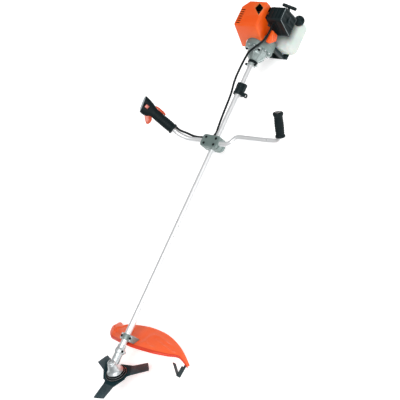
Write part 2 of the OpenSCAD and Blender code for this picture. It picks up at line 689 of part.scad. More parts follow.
module connecting_rod() {
    color(steel) placed() engine_frame() {
        difference() {
            union() {
                translate([0, 0, stroke / 2]) along_x(cyl_x - 4) cylinder(h = 8, r = 9);
                translate([0, 0, piston_z + 12]) along_x(cyl_x - 4) cylinder(h = 8, r = 7.5);
                slab([cyl_x - 3, -4, stroke / 2], [cyl_x + 3, 4, piston_z + 12]);
            }
            translate([0, 0, stroke / 2]) along_x(cyl_x - 8) cylinder(h = 16, r = 5 + fit);
            translate([0, 0, piston_z + 12]) along_x(cyl_x - 8) cylinder(h = 16, r = 4 + fit);
        }
        translate([0, 0, stroke / 2]) along_x(cyl_x - web_gap + gap) cylinder(h = 2 * (web_gap - gap), r = 5);
        translate([0, 0, piston_z + 12]) along_x(cyl_x - 17) cylinder(h = 34, r = 4);
    }
}
module muffler() {
    color(steel) placed() engine_frame() {
        rounded_slab([66, 43.5, 42], [144, 86, 112], 6);
        rod([80, 80, 50], [80, 80, 30], 7);
    }
}
cover_side = [[8, 16], [46, 98], [61, 130], [189, 130], [189, 62], [150, 16]];
cover_plan = [[0, -47], [192, -47], [192, 52], [158, 90], [0, 92]];
louvre_count = 7;
module cover_blank(shrink) {
    intersection() {
        translate([0, 120, 0]) rotate([90, 0, 0]) linear_extrude(240) offset(delta = -shrink) polygon(cover_side);
        translate([0, 0, -60]) linear_extrude(300) offset(delta = -shrink) polygon(cover_plan);
    }
}
module cylinder_cover() {
    color(orange) placed() engine_frame() difference() {
        cover_blank(0);
        cover_blank(cover_wall);
        slab([20, -47 + cover_wall, 0], [189 - cover_wall, 92 - cover_wall, 20]);
        along_x(-10) cylinder(h = 76, r = fan_r + 2);
        along_x(block_back) cylinder(h = 80, r = recoil_r + gap);
        slab([80, -60, 0], [195, -42, 100]);
        translate([149, -19, 120]) linear_extrude(20) polygon([[31, 13], [5, -26], [-33, -15], [4, 27]]);
        for (k = [0:louvre_count - 1]) slab([70 + 11 * k, 62, 120], [75 + 11 * k, 82, 140]);
    }
}
module side_cover() {
    color(orange) placed() engine_frame() difference() {
        rounded_slab([27, -82, -12], [86, -fan_r - 1, 50], 6);
        slab([38, -70, 0], [76, -60, 40]);
    }
}
module spark_plug() {
    color("white") placed() engine_frame() {
        rod(plug_base - plug_dir * 11, plug_base + plug_dir * 6, 6 - fit);
        rod(plug_base + plug_dir * 5.9, plug_base + plug_dir * 28, 4);
    }
}
module plug_boot() {
    color(black) placed() engine_frame() difference() {
        rod(plug_base + plug_dir * 18, plug_base + plug_dir * 38, 9);
        rod(plug_base + plug_dir * 10, plug_base + plug_dir * 30, 4 + fit);
    }
}
module intake_pipe(r) { rod([123, -59, 30], [cyl_x + 12, -44, 62], r); }
module carburettor() {
    color(grey) placed() engine_frame() union() {
        slab([112, -92, 6], [134, -58, 42]);
        slab([cable_stop, -82, 41], [cable_stop + 6, -68, 70]);
        intake_pipe(8);
        rod([cyl_x + 12, -46, 62], [cyl_x + 12, -cyl_bore / 2 - 13.5, 62], 8);
    }
}
module primer_bulb() {
    color("#B8B8A8") placed() engine_frame() translate(primer_at) rotate([180, 0, 0])
        rotate_extrude() polygon([[0, 0], [8, 0], [7.5, 5], [5.5, 8.5], [2.5, 10], [0, 10.3]]);
}
module choke_lever() {
    color(black) placed() engine_frame() translate(choke_pivot) {
        slab([-26, -3, -4], [0, 0, 4]);
        slab([-26, -8, -4], [-20, -2, 4]);
        rotate([90, 0, 0]) cylinder(h = 3, r = 5);
        translate([0, 8, 0]) rotate([90, 0, 0]) cylinder(h = 9, r = 2 - fit);
    }
}
// The filter box's front leans towards the blade at its foot and hides the carburettor.
module filter_side(inset) {
    polygon([[filter_foot + inset, filter_low], [filter_top + inset, filter_high], [filter_back, filter_high],
             [filter_back, filter_low]]);
}
module air_filter() {
    color(black) placed() engine_frame() difference() {
        translate([0, filter_in, 0]) rotate([90, 0, 0]) linear_extrude(filter_in - filter_out)
            offset(r = 5) offset(delta = -5) filter_side(0);
        intersection() {
            translate([0, -40, 0]) rotate([90, 0, 0]) linear_extrude(58) filter_side(4);
            slab([filter_foot, -98, filter_low + 5], [150, -40, 76]);
        }
        rod([80, -75, 62], [125, -75, 62], cable_r + gap);
        intake_pipe(8 + gap);
        starter_arm(9 + gap);
        translate(primer_at - [0, 0, 1]) cylinder(h = 5, r = 9);
        translate(choke_pivot) rotate([-90, 0, 0]) cylinder(h = 10, r = 2);
    }
}
module tank_neck(extra, length) { aimed(cap_at - unit(cap_dir) * 26, cap_dir) cylinder(h = 26 + length, r = 18 + extra); }
module fuel_tank() {
    color("#E6EFEA") placed() engine_frame() difference() {
        union() {
            rounded_slab(tank_box[0], tank_box[1], 16);
            tank_neck(0, 0);
        }
        rounded_slab(tank_box[0] + [3, 3, 3], tank_box[1] - [3, 3, 3], 13);
        tank_neck(-4, 1);
    }
}
module fuel_cap() {
    color(black) placed() engine_frame() aimed(cap_at - unit(cap_dir) * 8, cap_dir) difference() {
        cylinder(h = 20, r = fuel_cap_d / 2);
        translate([0, 0, -1]) cylinder(h = 9 + gap, r = 18 + gap);
    }
}
module stand() {
    color(black) placed() engine_frame() difference() {
        union() {
            slab([45, -60, floor_z], [181, 60, floor_z + 5 - fit]);
            for (s = [-1, 1]) slab([45, s * 32 - 12, floor_z], [57, s * 32 + 12, -30]);
        }
        along_x(0) cylinder(h = 100, r = fan_r + fit);
        slab([70, -30, floor_z - 1], [150, 30, floor_z + 9]);
    }
}
module starter_arm(r) { rod([recoil_back - 6, -24, 8], starter_at - pull_dir * 22, r); }
module recoil_housing() {
    color(black) placed() engine_frame() difference() {
        union() {
            along_x(block_back) cylinder(h = recoil_back - block_back, r = recoil_r);
            starter_arm(9);
            aimed(starter_at - pull_dir * 26, pull_dir) cylinder(h = 11, r = 9);
        }
        along_x(block_back - 1) cylinder(h = recoil_back - block_back - 5, r = recoil_r - 5);
    }
}
module starter_handle() {
    color(black) placed() engine_frame() {
        rod(starter_at - bar_dir * 35, starter_at + bar_dir * 35, 8);
        rod(starter_at - pull_dir * 14, starter_at, 6.5);
    }
}

main_tube();
drive_shaft();
shaft_bushings();
gear_case();
grease_plug();
bearings();
pinion_gear();
crown_gear();
output_spindle();
blade_holder();
blade();
blade_washer();
nut_cover();
blade_nut();
guard();
guard_bracket();
guard_clamp();
guard_skirt();
line_cutter();
clamp_screws();
bar_clamp_base();
bar_clamp_middle();
bar_clamp_cap();
bar_clamp_bolts();
left_handlebar();
right_handlebar();
left_grip();
throttle_grip();
throttle_trigger();
lockout_lever();
stop_switch();
throttle_cable();
harness_bracket();
harness_clamp_cap();
clutch_housing();
rubber_collar();
engine_bolts();
clutch_drum();
clutch_shoes();
crankshaft();
flywheel();
crankcase();
cylinder_node();  // cylinder
piston();
connecting_rod();
muffler();
cylinder_cover();
side_cover();
spark_plug();
plug_boot();
carburettor();
primer_bulb();
choke_lever();
air_filter();
fuel_tank();
fuel_cap();
stand();
recoil_housing();
starter_handle();
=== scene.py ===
# %% [markdown]
# # A petrol brush cutter, finished in Blender
# The machine is 1.5 m of straight aluminium tube with a toothed blade at one end and a small two-stroke
# engine at the other, almost 2 m in all. Its joints and its main measures come from the CAD frame that is
# loaded here. Everything in this file gives those plain solids their real surfaces: castings, mouldings,
# rubber, lacquer and ground steel.
# Lengths are given in millimetres from the point where the shaft's axis meets the blade's axis, because
# that is how a fitter would measure the machine. The frame itself is in metres.

import math

import bmesh
import bpy
from mathutils import Matrix, Vector


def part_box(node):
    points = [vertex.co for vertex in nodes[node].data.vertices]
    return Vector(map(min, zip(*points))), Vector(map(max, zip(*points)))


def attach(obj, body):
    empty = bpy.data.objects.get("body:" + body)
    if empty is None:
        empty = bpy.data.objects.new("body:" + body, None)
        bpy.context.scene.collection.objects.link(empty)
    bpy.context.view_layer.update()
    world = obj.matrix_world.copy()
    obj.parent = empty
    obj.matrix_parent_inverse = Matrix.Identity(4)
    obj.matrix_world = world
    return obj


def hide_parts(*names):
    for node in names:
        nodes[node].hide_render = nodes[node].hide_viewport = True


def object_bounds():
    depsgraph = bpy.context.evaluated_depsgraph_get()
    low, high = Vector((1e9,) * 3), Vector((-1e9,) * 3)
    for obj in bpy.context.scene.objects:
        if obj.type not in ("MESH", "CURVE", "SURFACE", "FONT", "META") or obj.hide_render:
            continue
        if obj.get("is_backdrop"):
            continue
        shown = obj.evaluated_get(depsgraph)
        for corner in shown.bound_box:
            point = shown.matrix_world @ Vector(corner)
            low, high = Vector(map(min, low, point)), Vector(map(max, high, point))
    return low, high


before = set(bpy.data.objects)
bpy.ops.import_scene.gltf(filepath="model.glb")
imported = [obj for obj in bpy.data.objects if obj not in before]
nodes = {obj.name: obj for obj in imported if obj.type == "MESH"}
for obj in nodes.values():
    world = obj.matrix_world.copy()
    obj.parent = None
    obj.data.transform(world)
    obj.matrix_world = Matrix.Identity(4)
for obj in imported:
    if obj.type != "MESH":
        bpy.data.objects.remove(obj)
cad_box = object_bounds()
print("frame holds", len(nodes), "CAD nodes")

# %% [markdown]
# ## Measuring from the shaft
# The frame's zero is the harness eye. The main tube lies along X, so its box gives the shaft's axis, and
# the tube starts 39 mm behind the working zero. From there one function, `at`, turns a fitter's
# millimetres into the frame's metres.

# %% Places and sizes read from the frame
TUBE_START = 39
TUBE_TO_FLANGE = 40
MM = 0.001


def corners(node):
    """Lowest and highest corner of a CAD node, in metres."""
    low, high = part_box(node)
    return Vector(low), Vector(high)


tube_low, tube_high = corners("main_tube")
ZERO = Vector((tube_low.x - TUBE_START * MM, (tube_low.y + tube_high.y) / 2, (tube_low.z + tube_high.z) / 2))
TUBE_R = (tube_high.y - tube_low.y) / 2 / MM
FLANGE = (tube_high.x - ZERO.x) / MM + TUBE_TO_FLANGE
FLOOR_Z = (corners("stand")[0].z - ZERO.z) / MM
HEAD_ANGLE = math.radians(30.5)
CLAMP_X = 1087
BAR_R = 11
BAR_Z = TUBE_R + BAR_R + 1


def at(x, y, z):
    """A point measured in millimetres from the working zero, in metres in the frame."""
    return ZERO + Vector((x, y, z)) * MM


print(f"tube radius {TUBE_R:.1f} mm, clutch flange at {FLANGE:.0f} mm, ground at {FLOOR_Z:.0f} mm")

# %% [markdown]
# ## The camera
# The machine is seen from high on its left, with the blade at the bottom and the engine at the top. A
# camera that looks at a spot on the shaft and is then rolled about its own line of sight gives that view.
# A long lens, about 90 mm, keeps the perspective gentle.

# %% Camera
CAMERA_PLACE = (-68, -3041, 3139)
CAMERA_AIM = (817.5, -59.3, 0)
CAMERA_ROLL = math.radians(53.48)
LENS, FILM_WIDTH = 89.5, 36
camera = bpy.data.objects.new("camera", bpy.data.cameras.new("camera"))
bpy.context.scene.collection.objects.link(camera)
line_of_sight = at(*CAMERA_AIM) - at(*CAMERA_PLACE)
turn = line_of_sight.to_track_quat("-Z", "Y").to_matrix().to_4x4()
camera.matrix_world = Matrix.Translation(at(*CAMERA_PLACE)) @ turn @ Matrix.Rotation(-CAMERA_ROLL, 4, "Z")
camera.data.sensor_width = FILM_WIDTH
camera.data.lens = LENS
camera.data.clip_end = 60
bpy.context.scene.camera = camera
print("camera stands", round(line_of_sight.length, 2), "m from its aim")

# %% [markdown]
# ## Studio
# A pale floor and soft light give the bright, almost shadow-free look of a catalogue picture. The sky is
# bright overhead and falls off towards the horizon, as in a studio with dark side walls. That fall-off
# matters: round bright tubes would vanish against a white floor if nothing dark were there for their
# sides to reflect. A wide soft sun is the key light, and one strip draws a line along the tube.

# %% Floor, world and lights
FLOOR_GLOW = 0.5


def pale_floor():
    """A wide matt floor at the height of the engine's foot. It is stage, not part of the machine."""
    bpy.ops.mesh.primitive_plane_add(size=40, location=at(800, 0, FLOOR_Z))
    floor = bpy.context.object
    floor.name = "studio_floor"
    paper = bpy.data.materials.new("pale_floor")
    paper.use_nodes = True
    shader = paper.node_tree.nodes["Principled BSDF"]
    shader.inputs["Base Color"].default_value = (0.93, 0.93, 0.93, 1)
    shader.inputs["Roughness"].default_value = 1.0
    shader.inputs["Specular IOR Level"].default_value = 0.0
    shader.inputs["Emission Color"].default_value = (1, 1, 1, 1)
    shader.inputs["Emission Strength"].default_value = FLOOR_GLOW
    floor.data.materials.append(paper)
    floor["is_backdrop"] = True


def lamp(name, kind, place, aim, power, **settings):
    data = bpy.data.lights.new(name, kind)
    data.energy = power
    for key, value in settings.items():
        setattr(data, key, value)
    holder = bpy.data.objects.new(name, data)
    bpy.context.scene.collection.objects.link(holder)
    holder.location = at(*place)
    holder.rotation_euler = (at(*aim) - at(*place)).to_track_quat("-Z", "Y").to_euler()


def sky(low, high, strength):
    """A world that is dim at the horizon and bright overhead."""
    world = bpy.data.worlds.new("studio_world")
    world.use_nodes = True
    tree = world.node_tree
    place = tree.nodes.new("ShaderNodeTexCoord")
    split = tree.nodes.new("ShaderNodeSeparateXYZ")
    ramp = tree.nodes.new("ShaderNodeMapRange")
    ramp.interpolation_type = "SMOOTHSTEP"
    ramp.inputs["From Min"].default_value = 0.15
    ramp.inputs["From Max"].default_value = 0.65
    ramp.inputs["To Min"].default_value = low
    ramp.inputs["To Max"].default_value = high
    tree.links.new(place.outputs["Generated"], split.inputs[0])
    tree.links.new(split.outputs["Z"], ramp.inputs["Value"])
    tree.links.new(ramp.outputs["Result"], tree.nodes["Background"].inputs["Color"])
    tree.nodes["Background"].inputs["Strength"].default_value = strength
    bpy.context.scene.world = world


pale_floor()
sky(0.16, 1.0, 0.46)
bpy.context.scene.view_settings.view_transform = "Standard"
lamp("key", "SUN", (300, -1500, 3400), (900, 0, 0), 1.6, angle=math.radians(34))
lamp("strip", "AREA", (300, -1900, 1100), (800, 0, 0), 9, shape="RECTANGLE", size=2.2, size_y=0.25)
print("studio ready")

# %% [markdown]
# ## Surface effects as node groups
# Three effects come back on nearly every part of a garden machine. Colour drifts a little over a moulding
# or casting, a fine grain covers mould-textured plastic and sand-cast metal, and edges that hands and grass
# rub go paler. Each effect is a small node group that gives out a colour, a mask or a height, so that a
# material only has to place it with its own values.

# %% Node group helpers
def new_group(name, inputs, outputs):
    group = bpy.data.node_groups.new(name, "ShaderNodeTree")
    for label, kind, value in inputs:
        socket = group.interface.new_socket(label, in_out="INPUT", socket_type=kind)
        socket.default_value = value
    for label, kind in outputs:
        group.interface.new_socket(label, in_out="OUTPUT", socket_type=kind)
    return group, group.nodes.new("NodeGroupInput"), group.nodes.new("NodeGroupOutput")


def add_node(tree, kind, links=(), **settings):
    """A node with its settings, and its inputs set or linked from (input, value or socket) pairs."""
    node = tree.nodes.new(kind)
    for key, value in settings.items():
        setattr(node, key, value)
    for key, value in links:
        if isinstance(value, bpy.types.NodeSocket):
            tree.links.new(value, node.inputs[key])
        else:
            node.inputs[key].default_value = value
    return node


def build_drift():
    """Colour that drifts between a base and a second tone in soft clouds."""
    group, data, result = new_group(
        "colour_drift",
        [("Base", "NodeSocketColor", (0.5, 0.5, 0.5, 1)), ("Second", "NodeSocketColor", (0.4, 0.4, 0.4, 1)),
         ("Scale", "NodeSocketFloat", 20.0), ("Amount", "NodeSocketFloat", 0.4)],
        [("Color", "NodeSocketColor"), ("Mask", "NodeSocketFloat")])
    place = add_node(group, "ShaderNodeTexCoord")
    cloud = add_node(group, "ShaderNodeTexNoise", [("Vector", place.outputs["Object"]),
                                                   ("Scale", data.outputs["Scale"]), ("Detail", 4.0)])
    spread = add_node(group, "ShaderNodeMapRange", [("Value", cloud.outputs["Fac"]), ("From Min", 0.35),
                                                    ("From Max", 0.65)])
    share = add_node(group, "ShaderNodeMath", [(0, spread.outputs["Result"]), (1, data.outputs["Amount"])],
                     operation="MULTIPLY")
    mix = add_node(group, "ShaderNodeMixRGB", [("Fac", share.outputs[0]), ("Color1", data.outputs["Base"]),
                                               ("Color2", data.outputs["Second"])])
    group.links.new(mix.outputs[0], result.inputs["Color"])
    group.links.new(spread.outputs["Result"], result.inputs["Mask"])
    return group


def build_grain():
    """A fine moulded or cast grain as a height, and a roughness that follows it."""
    group, data, result = new_group(
        "surface_grain",
        [("Scale", "NodeSocketFloat", 900.0), ("Roughness", "NodeSocketFloat", 0.4),
         ("Spread", "NodeSocketFloat", 0.12)],
        [("Height", "NodeSocketFloat"), ("Roughness", "NodeSocketFloat")])
    place = add_node(group, "ShaderNodeTexCoord")
    fine = add_node(group, "ShaderNodeTexNoise", [("Vector", place.outputs["Object"]),
                                                  ("Scale", data.outputs["Scale"]), ("Detail", 3.0)])
    broad = add_node(group, "ShaderNodeTexNoise", [("Vector", place.outputs["Object"]), ("Scale", 35.0),
                                                   ("Detail", 5.0)])
    centred = add_node(group, "ShaderNodeMath", [(0, broad.outputs["Fac"]), (1, 0.5)], operation="SUBTRACT")
    sized = add_node(group, "ShaderNodeMath", [(0, centred.outputs[0]), (1, data.outputs["Spread"])],
                     operation="MULTIPLY")
    rough = add_node(group, "ShaderNodeMath", [(0, sized.outputs[0]), (1, data.outputs["Roughness"])],
                     operation="ADD", use_clamp=True)
    group.links.new(fine.outputs["Fac"], result.inputs["Height"])
    group.links.new(rough.outputs[0], result.inputs["Roughness"])
    return group


def build_wear():
    """Rubbed edges: the mesh's convex edges, broken up by noise, turn to a second colour."""
    group, data, result = new_group(
        "edge_wear",
        [("Color", "NodeSocketColor", (0.1, 0.1, 0.1, 1)), ("Worn", "NodeSocketColor", (0.4, 0.4, 0.4, 1)),
         ("Amount", "NodeSocketFloat", 0.3)],
        [("Color", "NodeSocketColor"), ("Mask", "NodeSocketFloat")])
    shape = add_node(group, "ShaderNodeNewGeometry")
    place = add_node(group, "ShaderNodeTexCoord")
    edge = add_node(group, "ShaderNodeMapRange", [("Value", shape.outputs["Pointiness"]), ("From Min", 0.52),
                                                  ("From Max", 0.6)])
    patchy = add_node(group, "ShaderNodeTexNoise", [("Vector", place.outputs["Object"]), ("Scale", 160.0),
                                                    ("Detail", 4.0)])
    broken = add_node(group, "ShaderNodeMath", [(0, edge.outputs["Result"]), (1, patchy.outputs["Fac"])],
                      operation="MULTIPLY")
    mask = add_node(group, "ShaderNodeMath", [(0, broken.outputs[0]), (1, data.outputs["Amount"])],
                    operation="MULTIPLY", use_clamp=True)
    mix = add_node(group, "ShaderNodeMixRGB", [("Fac", mask.outputs[0]), ("Color1", data.outputs["Color"]),
                                               ("Color2", data.outputs["Worn"])])
    group.links.new(mix.outputs[0], result.inputs["Color"])
    group.links.new(mask.outputs[0], result.inputs["Mask"])
    return group


DRIFT = build_drift()
GRAIN = build_grain()
WEAR = build_wear()
print("node groups:", [g.name for g in (DRIFT, GRAIN, WEAR)])

# %% [markdown]
# ## Finishes
# One function builds every finish from those groups: a drifting base colour, worn edges, a grain that
# feeds both the bump and the roughness, and, where the real surface is lacquered or freshly moulded, a
# clear coat set on the shader itself. What tells one finish from another is then only its numbers.

# %% The finish builder
def finish(name, base, second, rough, metal=0.0, coat=0.0, grain=900.0, bump=0.05, drift=0.4,
           drift_scale=20.0, worn=None, wear=0.3, specular=0.5, spread=0.12):
    made = bpy.data.materials.new(name)
    made.use_nodes = True
    tree = made.node_tree
    shader = tree.nodes["Principled BSDF"]
    tint = add_node(tree, "ShaderNodeGroup", node_tree=DRIFT)
    tint.inputs["Base"].default_value = (*base, 1)
    tint.inputs["Second"].default_value = (*second, 1)
    tint.inputs["Scale"].default_value = drift_scale
    tint.inputs["Amount"].default_value = drift
    rub = add_node(tree, "ShaderNodeGroup", node_tree=WEAR)
    rub.inputs["Worn"].default_value = (*(worn or [min(1, c * 1.6 + 0.03) for c in base]), 1)
    rub.inputs["Amount"].default_value = wear
    skin = add_node(tree, "ShaderNodeGroup", node_tree=GRAIN)
    skin.inputs["Scale"].default_value = grain
    skin.inputs["Roughness"].default_value = rough
    skin.inputs["Spread"].default_value = spread
    relief = add_node(tree, "ShaderNodeBump", [("Strength", 1.0), ("Distance", bump * MM),
                                               ("Height", skin.outputs["Height"])])
    tree.links.new(tint.outputs["Color"], rub.inputs["Color"])
    tree.links.new(rub.outputs["Color"], shader.inputs["Base Color"])
    tree.links.new(skin.outputs["Roughness"], shader.inputs["Roughness"])
    tree.links.new(relief.outputs["Normal"], shader.inputs["Normal"])
    shader.inputs["Metallic"].default_value = metal
    shader.inputs["Coat Weight"].default_value = coat
    shader.inputs["Coat Roughness"].default_value = 0.08
    shader.inputs["Specular IOR Level"].default_value = specular
    return made


# %% [markdown]
# The metals come first. The tubes are drawn and anodised aluminium, almost white under studio light. A
# grey specular tint darkens what they reflect near their edges, so that a white tube still has an outline
# on a white floor. The gear case is die-cast with a satin shot-blasted skin. The clutch housing's casting
# is a darker, greener grey, and the crankcase and the clamps are darker still. The blade is lacquered steel
# with a cold blue-green cast.

# %% Metals
TUBE = finish("anodised_tube", (0.92, 0.93, 0.94), (0.86, 0.88, 0.89), 0.3, metal=0.6,
              grain=2600, bump=0.01, drift=0.3, drift_scale=9, wear=0.1)
TUBE.node_tree.nodes["Principled BSDF"].inputs["Specular Tint"].default_value = (0.42, 0.46, 0.47, 1)
BRIGHT = finish("bright_plated_steel", (0.86, 0.87, 0.88), (0.7, 0.72, 0.74), 0.22, metal=0.9, grain=1500,
                bump=0.01)
CAST = finish("satin_cast_alloy", (0.66, 0.70, 0.71), (0.54, 0.59, 0.61), 0.36, metal=0.72, grain=1400,
              bump=0.08, wear=0.7, worn=(0.9, 0.92, 0.93))
CLUTCH_CAST = finish("clutch_cast_alloy", (0.40, 0.47, 0.46), (0.28, 0.35, 0.34), 0.38, metal=0.5, grain=1400,
                     bump=0.08, wear=0.9, worn=(0.9, 0.92, 0.93))
GREY_CAST = finish("grey_green_cast_alloy", (0.20, 0.27, 0.255), (0.13, 0.185, 0.175), 0.42, metal=0.35,
                   grain=1300, bump=0.1, wear=0.9, worn=(0.66, 0.72, 0.72))
BLADE_STEEL = finish("lacquered_blade_steel", (0.008, 0.040, 0.050), (0.004, 0.014, 0.018), 0.32, metal=0.2,
                     coat=0.05, specular=0.2, grain=700, bump=0.02, drift=0.6, drift_scale=14, wear=0.9,
                     worn=(0.45, 0.5, 0.53))
DARK_STEEL = finish("oiled_dark_steel", (0.09, 0.095, 0.10), (0.05, 0.05, 0.055), 0.35, metal=0.8)
BLACK_SCREW = finish("black_oxide_screw", (0.010, 0.016, 0.018), (0.006, 0.009, 0.010), 0.32, metal=0.3,
                     grain=1500, bump=0.02, specular=0.3)
print("metals ready")

# %% [markdown]
# Then the plastics and rubbers. The cylinder cover is a glossy orange moulding, and the guard is softer and
# more coral, because its polypropylene is thin and lets some light in, which subsurface scattering gives.
# The black parts differ in gloss: the air filter's box has a fine spark-eroded grain, the grip rubber is
# duller, and the cable's sheath shines.

# %% Plastics and rubbers
ORANGE = finish("glossy_orange_moulding", (0.98, 0.105, 0.002), (0.90, 0.080, 0.002), 0.32, coat=0.06,
                grain=700, bump=0.015, drift=0.35, drift_scale=12, wear=0.5, worn=(1.0, 0.42, 0.16),
                specular=0.3)
DEEP_ORANGE = finish("deep_orange_moulding", (0.62, 0.06, 0.008), (0.48, 0.04, 0.006), 0.3, coat=0.35,
                     grain=700, bump=0.02, wear=0.5, worn=(0.95, 0.30, 0.10))
CORAL = finish("coral_guard_plastic", (1.0, 0.150, 0.045), (0.97, 0.120, 0.03), 0.4, coat=0.0, grain=1100,
               bump=0.05, drift=0.5, drift_scale=8, wear=0.4, worn=(1.0, 0.45, 0.28), specular=0.3)
BLACK = finish("grained_black_moulding", (0.007, 0.016, 0.018), (0.004, 0.010, 0.011), 0.36,
               grain=1200, bump=0.09, wear=0.5, worn=(0.08, 0.11, 0.12), specular=0.14)
RUBBER = finish("black_grip_rubber", (0.007, 0.014, 0.016), (0.004, 0.009, 0.010), 0.46, grain=1500, bump=0.1,
                wear=0.35, worn=(0.05, 0.065, 0.07), specular=0.12)
SHEATH = finish("cable_sheath", (0.005, 0.009, 0.010), (0.003, 0.006, 0.007), 0.34, grain=1800,
                bump=0.02, specular=0.15)
GREY_BAND = finish("pale_grey_moulding", (0.42, 0.46, 0.48), (0.34, 0.38, 0.40), 0.35, coat=0.2)
CERAMIC = finish("white_ceramic", (0.86, 0.85, 0.81), (0.8, 0.79, 0.75), 0.2, coat=0.4, bump=0.01)
TANK = finish("milky_tank_plastic", (0.72, 0.79, 0.75), (0.58, 0.66, 0.62), 0.3, coat=0.15, grain=500,
              bump=0.05, drift=0.5, drift_scale=7, wear=0.2, worn=(1, 1, 1))
BULB = finish("clear_primer_rubber", (0.75, 0.74, 0.66), (0.66, 0.65, 0.58), 0.2, coat=0.4)
# Near-black painted shade, for the lining under the cowl and the cylinder inside it, where deep shade falls.
PAINTED_SHADE_BLACK = finish("shaded_fins", (0.006, 0.014, 0.013), (0.003, 0.006, 0.006), 0.7, specular=0.1)
for soft, weight in ((TANK, 0.35), (CORAL, 0.12)):
    soft.node_tree.nodes["Principled BSDF"].inputs["Subsurface Weight"].default_value = weight
    soft.node_tree.nodes["Principled BSDF"].inputs["Subsurface Scale"].default_value = 0.01
print("plastics ready")

# %% [markdown]
# ## Making shapes
# Almost everything on this machine is turned, bent, pressed or moulded, so a handful of makers covers it:
# a lathe for round parts, a sweep for tubes and cables, a plate for outlines cut from sheet, and a loft for
# moulded shells. They all work in the fitter's millimetres and hand back a bmesh, and `piece` then puts the
# result in the frame, shades it, gives it a finish and says which CAD body it rides on.

# %% Piece maker
STILL = Matrix.Identity(4)
HEAD = Matrix.Rotation(HEAD_ANGLE, 4, "Y")
ENGINE = Matrix.Translation((FLANGE, 0, 0))


def piece(name, shell, material, replaced=(), body="frame", place=STILL, sharp=32):
    """Turns a bmesh in millimetres into a shaded piece that rides on a CAD body."""
    bmesh.ops.recalc_face_normals(shell, faces=shell.faces)
    shell.transform(Matrix.Translation(ZERO) @ Matrix.Scale(MM, 4) @ place)
    mesh = bpy.data.meshes.new(name)
    shell.to_mesh(mesh)
    shell.free()
    made = bpy.data.objects.new(name, mesh)
    bpy.context.scene.collection.objects.link(made)
    made.data.materials.append(material)
    made.data.shade_smooth()
    made.data.set_sharp_from_angle(angle=math.radians(sharp))
    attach(made, body)
    if replaced:
        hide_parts(*replaced)


def merged(*shells):
    """Several bmeshes as one."""
    whole = bmesh.new()
    for shell in shells:
        scratch = bpy.data.meshes.new("scratch")
        shell.to_mesh(scratch)
        shell.free()
        whole.from_mesh(scratch)
        bpy.data.meshes.remove(scratch)
    return whole


def moved(shell, place):
    shell.transform(place)
    return shell


print("piece maker ready")

# %% [markdown]
# `aimed` gives the matrix that stands a turned part on a point and leans it along a direction, as a fitter
# would push a bush onto its spindle. The lathe and the sweep are built ring by ring, which keeps the faces
# even and the ends clean.

# %% Round shapes
def aimed(place, direction):
    """A matrix whose Z axis starts at a place and points along a direction."""
    z = Vector(direction).normalized()
    x = Vector((0, 0, 1)).cross(z)
    if x.length < 0.01:
        x = Vector((1, 0, 0)).cross(z)
    x.normalize()
    y = z.cross(x)
    turn = Matrix((x, y, z)).transposed().to_4x4()
    return Matrix.Translation(Vector(place)) @ turn


ALONG_X = aimed((0, 0, 0), (1, 0, 0))


def skin_rings(shell, rings, loop=False):
    """Faces between neighbouring rings of vertices. A loop joins its last ring to its first, and any other
    row of rings gets flat ends."""
    count = len(rings[0])
    pairs = list(zip(rings, rings[1:])) + ([(rings[-1], rings[0])] if loop else [])
    for low, high in pairs:
        for k in range(count):
            n = (k + 1) % count
            shell.faces.new((low[k], low[n], high[n], high[k]))
    if not loop:
        shell.faces.new(list(reversed(rings[0])))
        shell.faces.new(rings[-1])


def lathe(profile, steps=48, place=STILL):
    """A turned solid: (height, radius) pairs along Z, closed at both ends."""
    shell = bmesh.new()
    rings = []
    for height, radius in profile:
        rings.append([shell.verts.new((max(radius, 0.02) * math.cos(2 * math.pi * k / steps),
                                       max(radius, 0.02) * math.sin(2 * math.pi * k / steps), height))
                      for k in range(steps)])
    skin_rings(shell, rings)
    return moved(shell, place)


def ring_lathe(profile, steps=48, place=STILL):
    """A turned ring: a closed loop of (height, radius) pairs spun about Z."""
    shell = bmesh.new()
    rings = [[shell.verts.new((radius * math.cos(2 * math.pi * k / steps),
                               radius * math.sin(2 * math.pi * k / steps), height))
              for k in range(steps)] for height, radius in profile]
    skin_rings(shell, rings, loop=True)
    return moved(shell, place)


def round_path(points, steps=6):
    """A smooth Catmull-Rom curve through the points."""
    points = [Vector(p) for p in points]
    path = []
    for i in range(len(points) - 1):
        a, b = points[max(i - 1, 0)], points[i]
        c, d = points[i + 1], points[min(i + 2, len(points) - 1)]
        for k in range(steps):
            t = k / steps
            path.append(0.5 * (2 * b + (c - a) * t + (2 * a - 5 * b + 4 * c - d) * t * t
                               + (3 * b - a - 3 * c + d) * t ** 3))
    path.append(points[-1])
    return path


def sweep(path, radius, sides=24, bore=None):
    """A round bar, or an open tube if a bore is given, along a path. The radius may vary by index."""
    shell = bmesh.new()
    size = radius if callable(radius) else (lambda i: radius)
    heading = (path[1] - path[0]).normalized()
    side = heading.orthogonal().normalized()
    rings, inner = [], []
    for i, point in enumerate(path):
        new_heading = (path[min(i + 1, len(path) - 1)] - path[max(i - 1, 0)]).normalized()
        side = heading.rotation_difference(new_heading) @ side
        heading = new_heading
        across = heading.cross(side)
        turns = [(math.cos(2 * math.pi * k / sides), math.sin(2 * math.pi * k / sides)) for k in range(sides)]
        rings.append([shell.verts.new(point + size(i) * (c * side + s * across)) for c, s in turns])
        if bore:
            inner.append([shell.verts.new(point + bore * (c * side + s * across)) for c, s in turns])
    skin_rings(shell, rings + inner[::-1] if bore else rings, loop=bool(bore))
    return shell


print("lathe and sweep ready")

# %% [markdown]
# Flat and box-like parts start from an outline that is pushed through a thickness. `rounded` then bevels
# their hard edges, and only those over a given angle. Holes, slots and hollow insides are cut with
# Blender's exact boolean, and the cutters are thrown away afterwards.

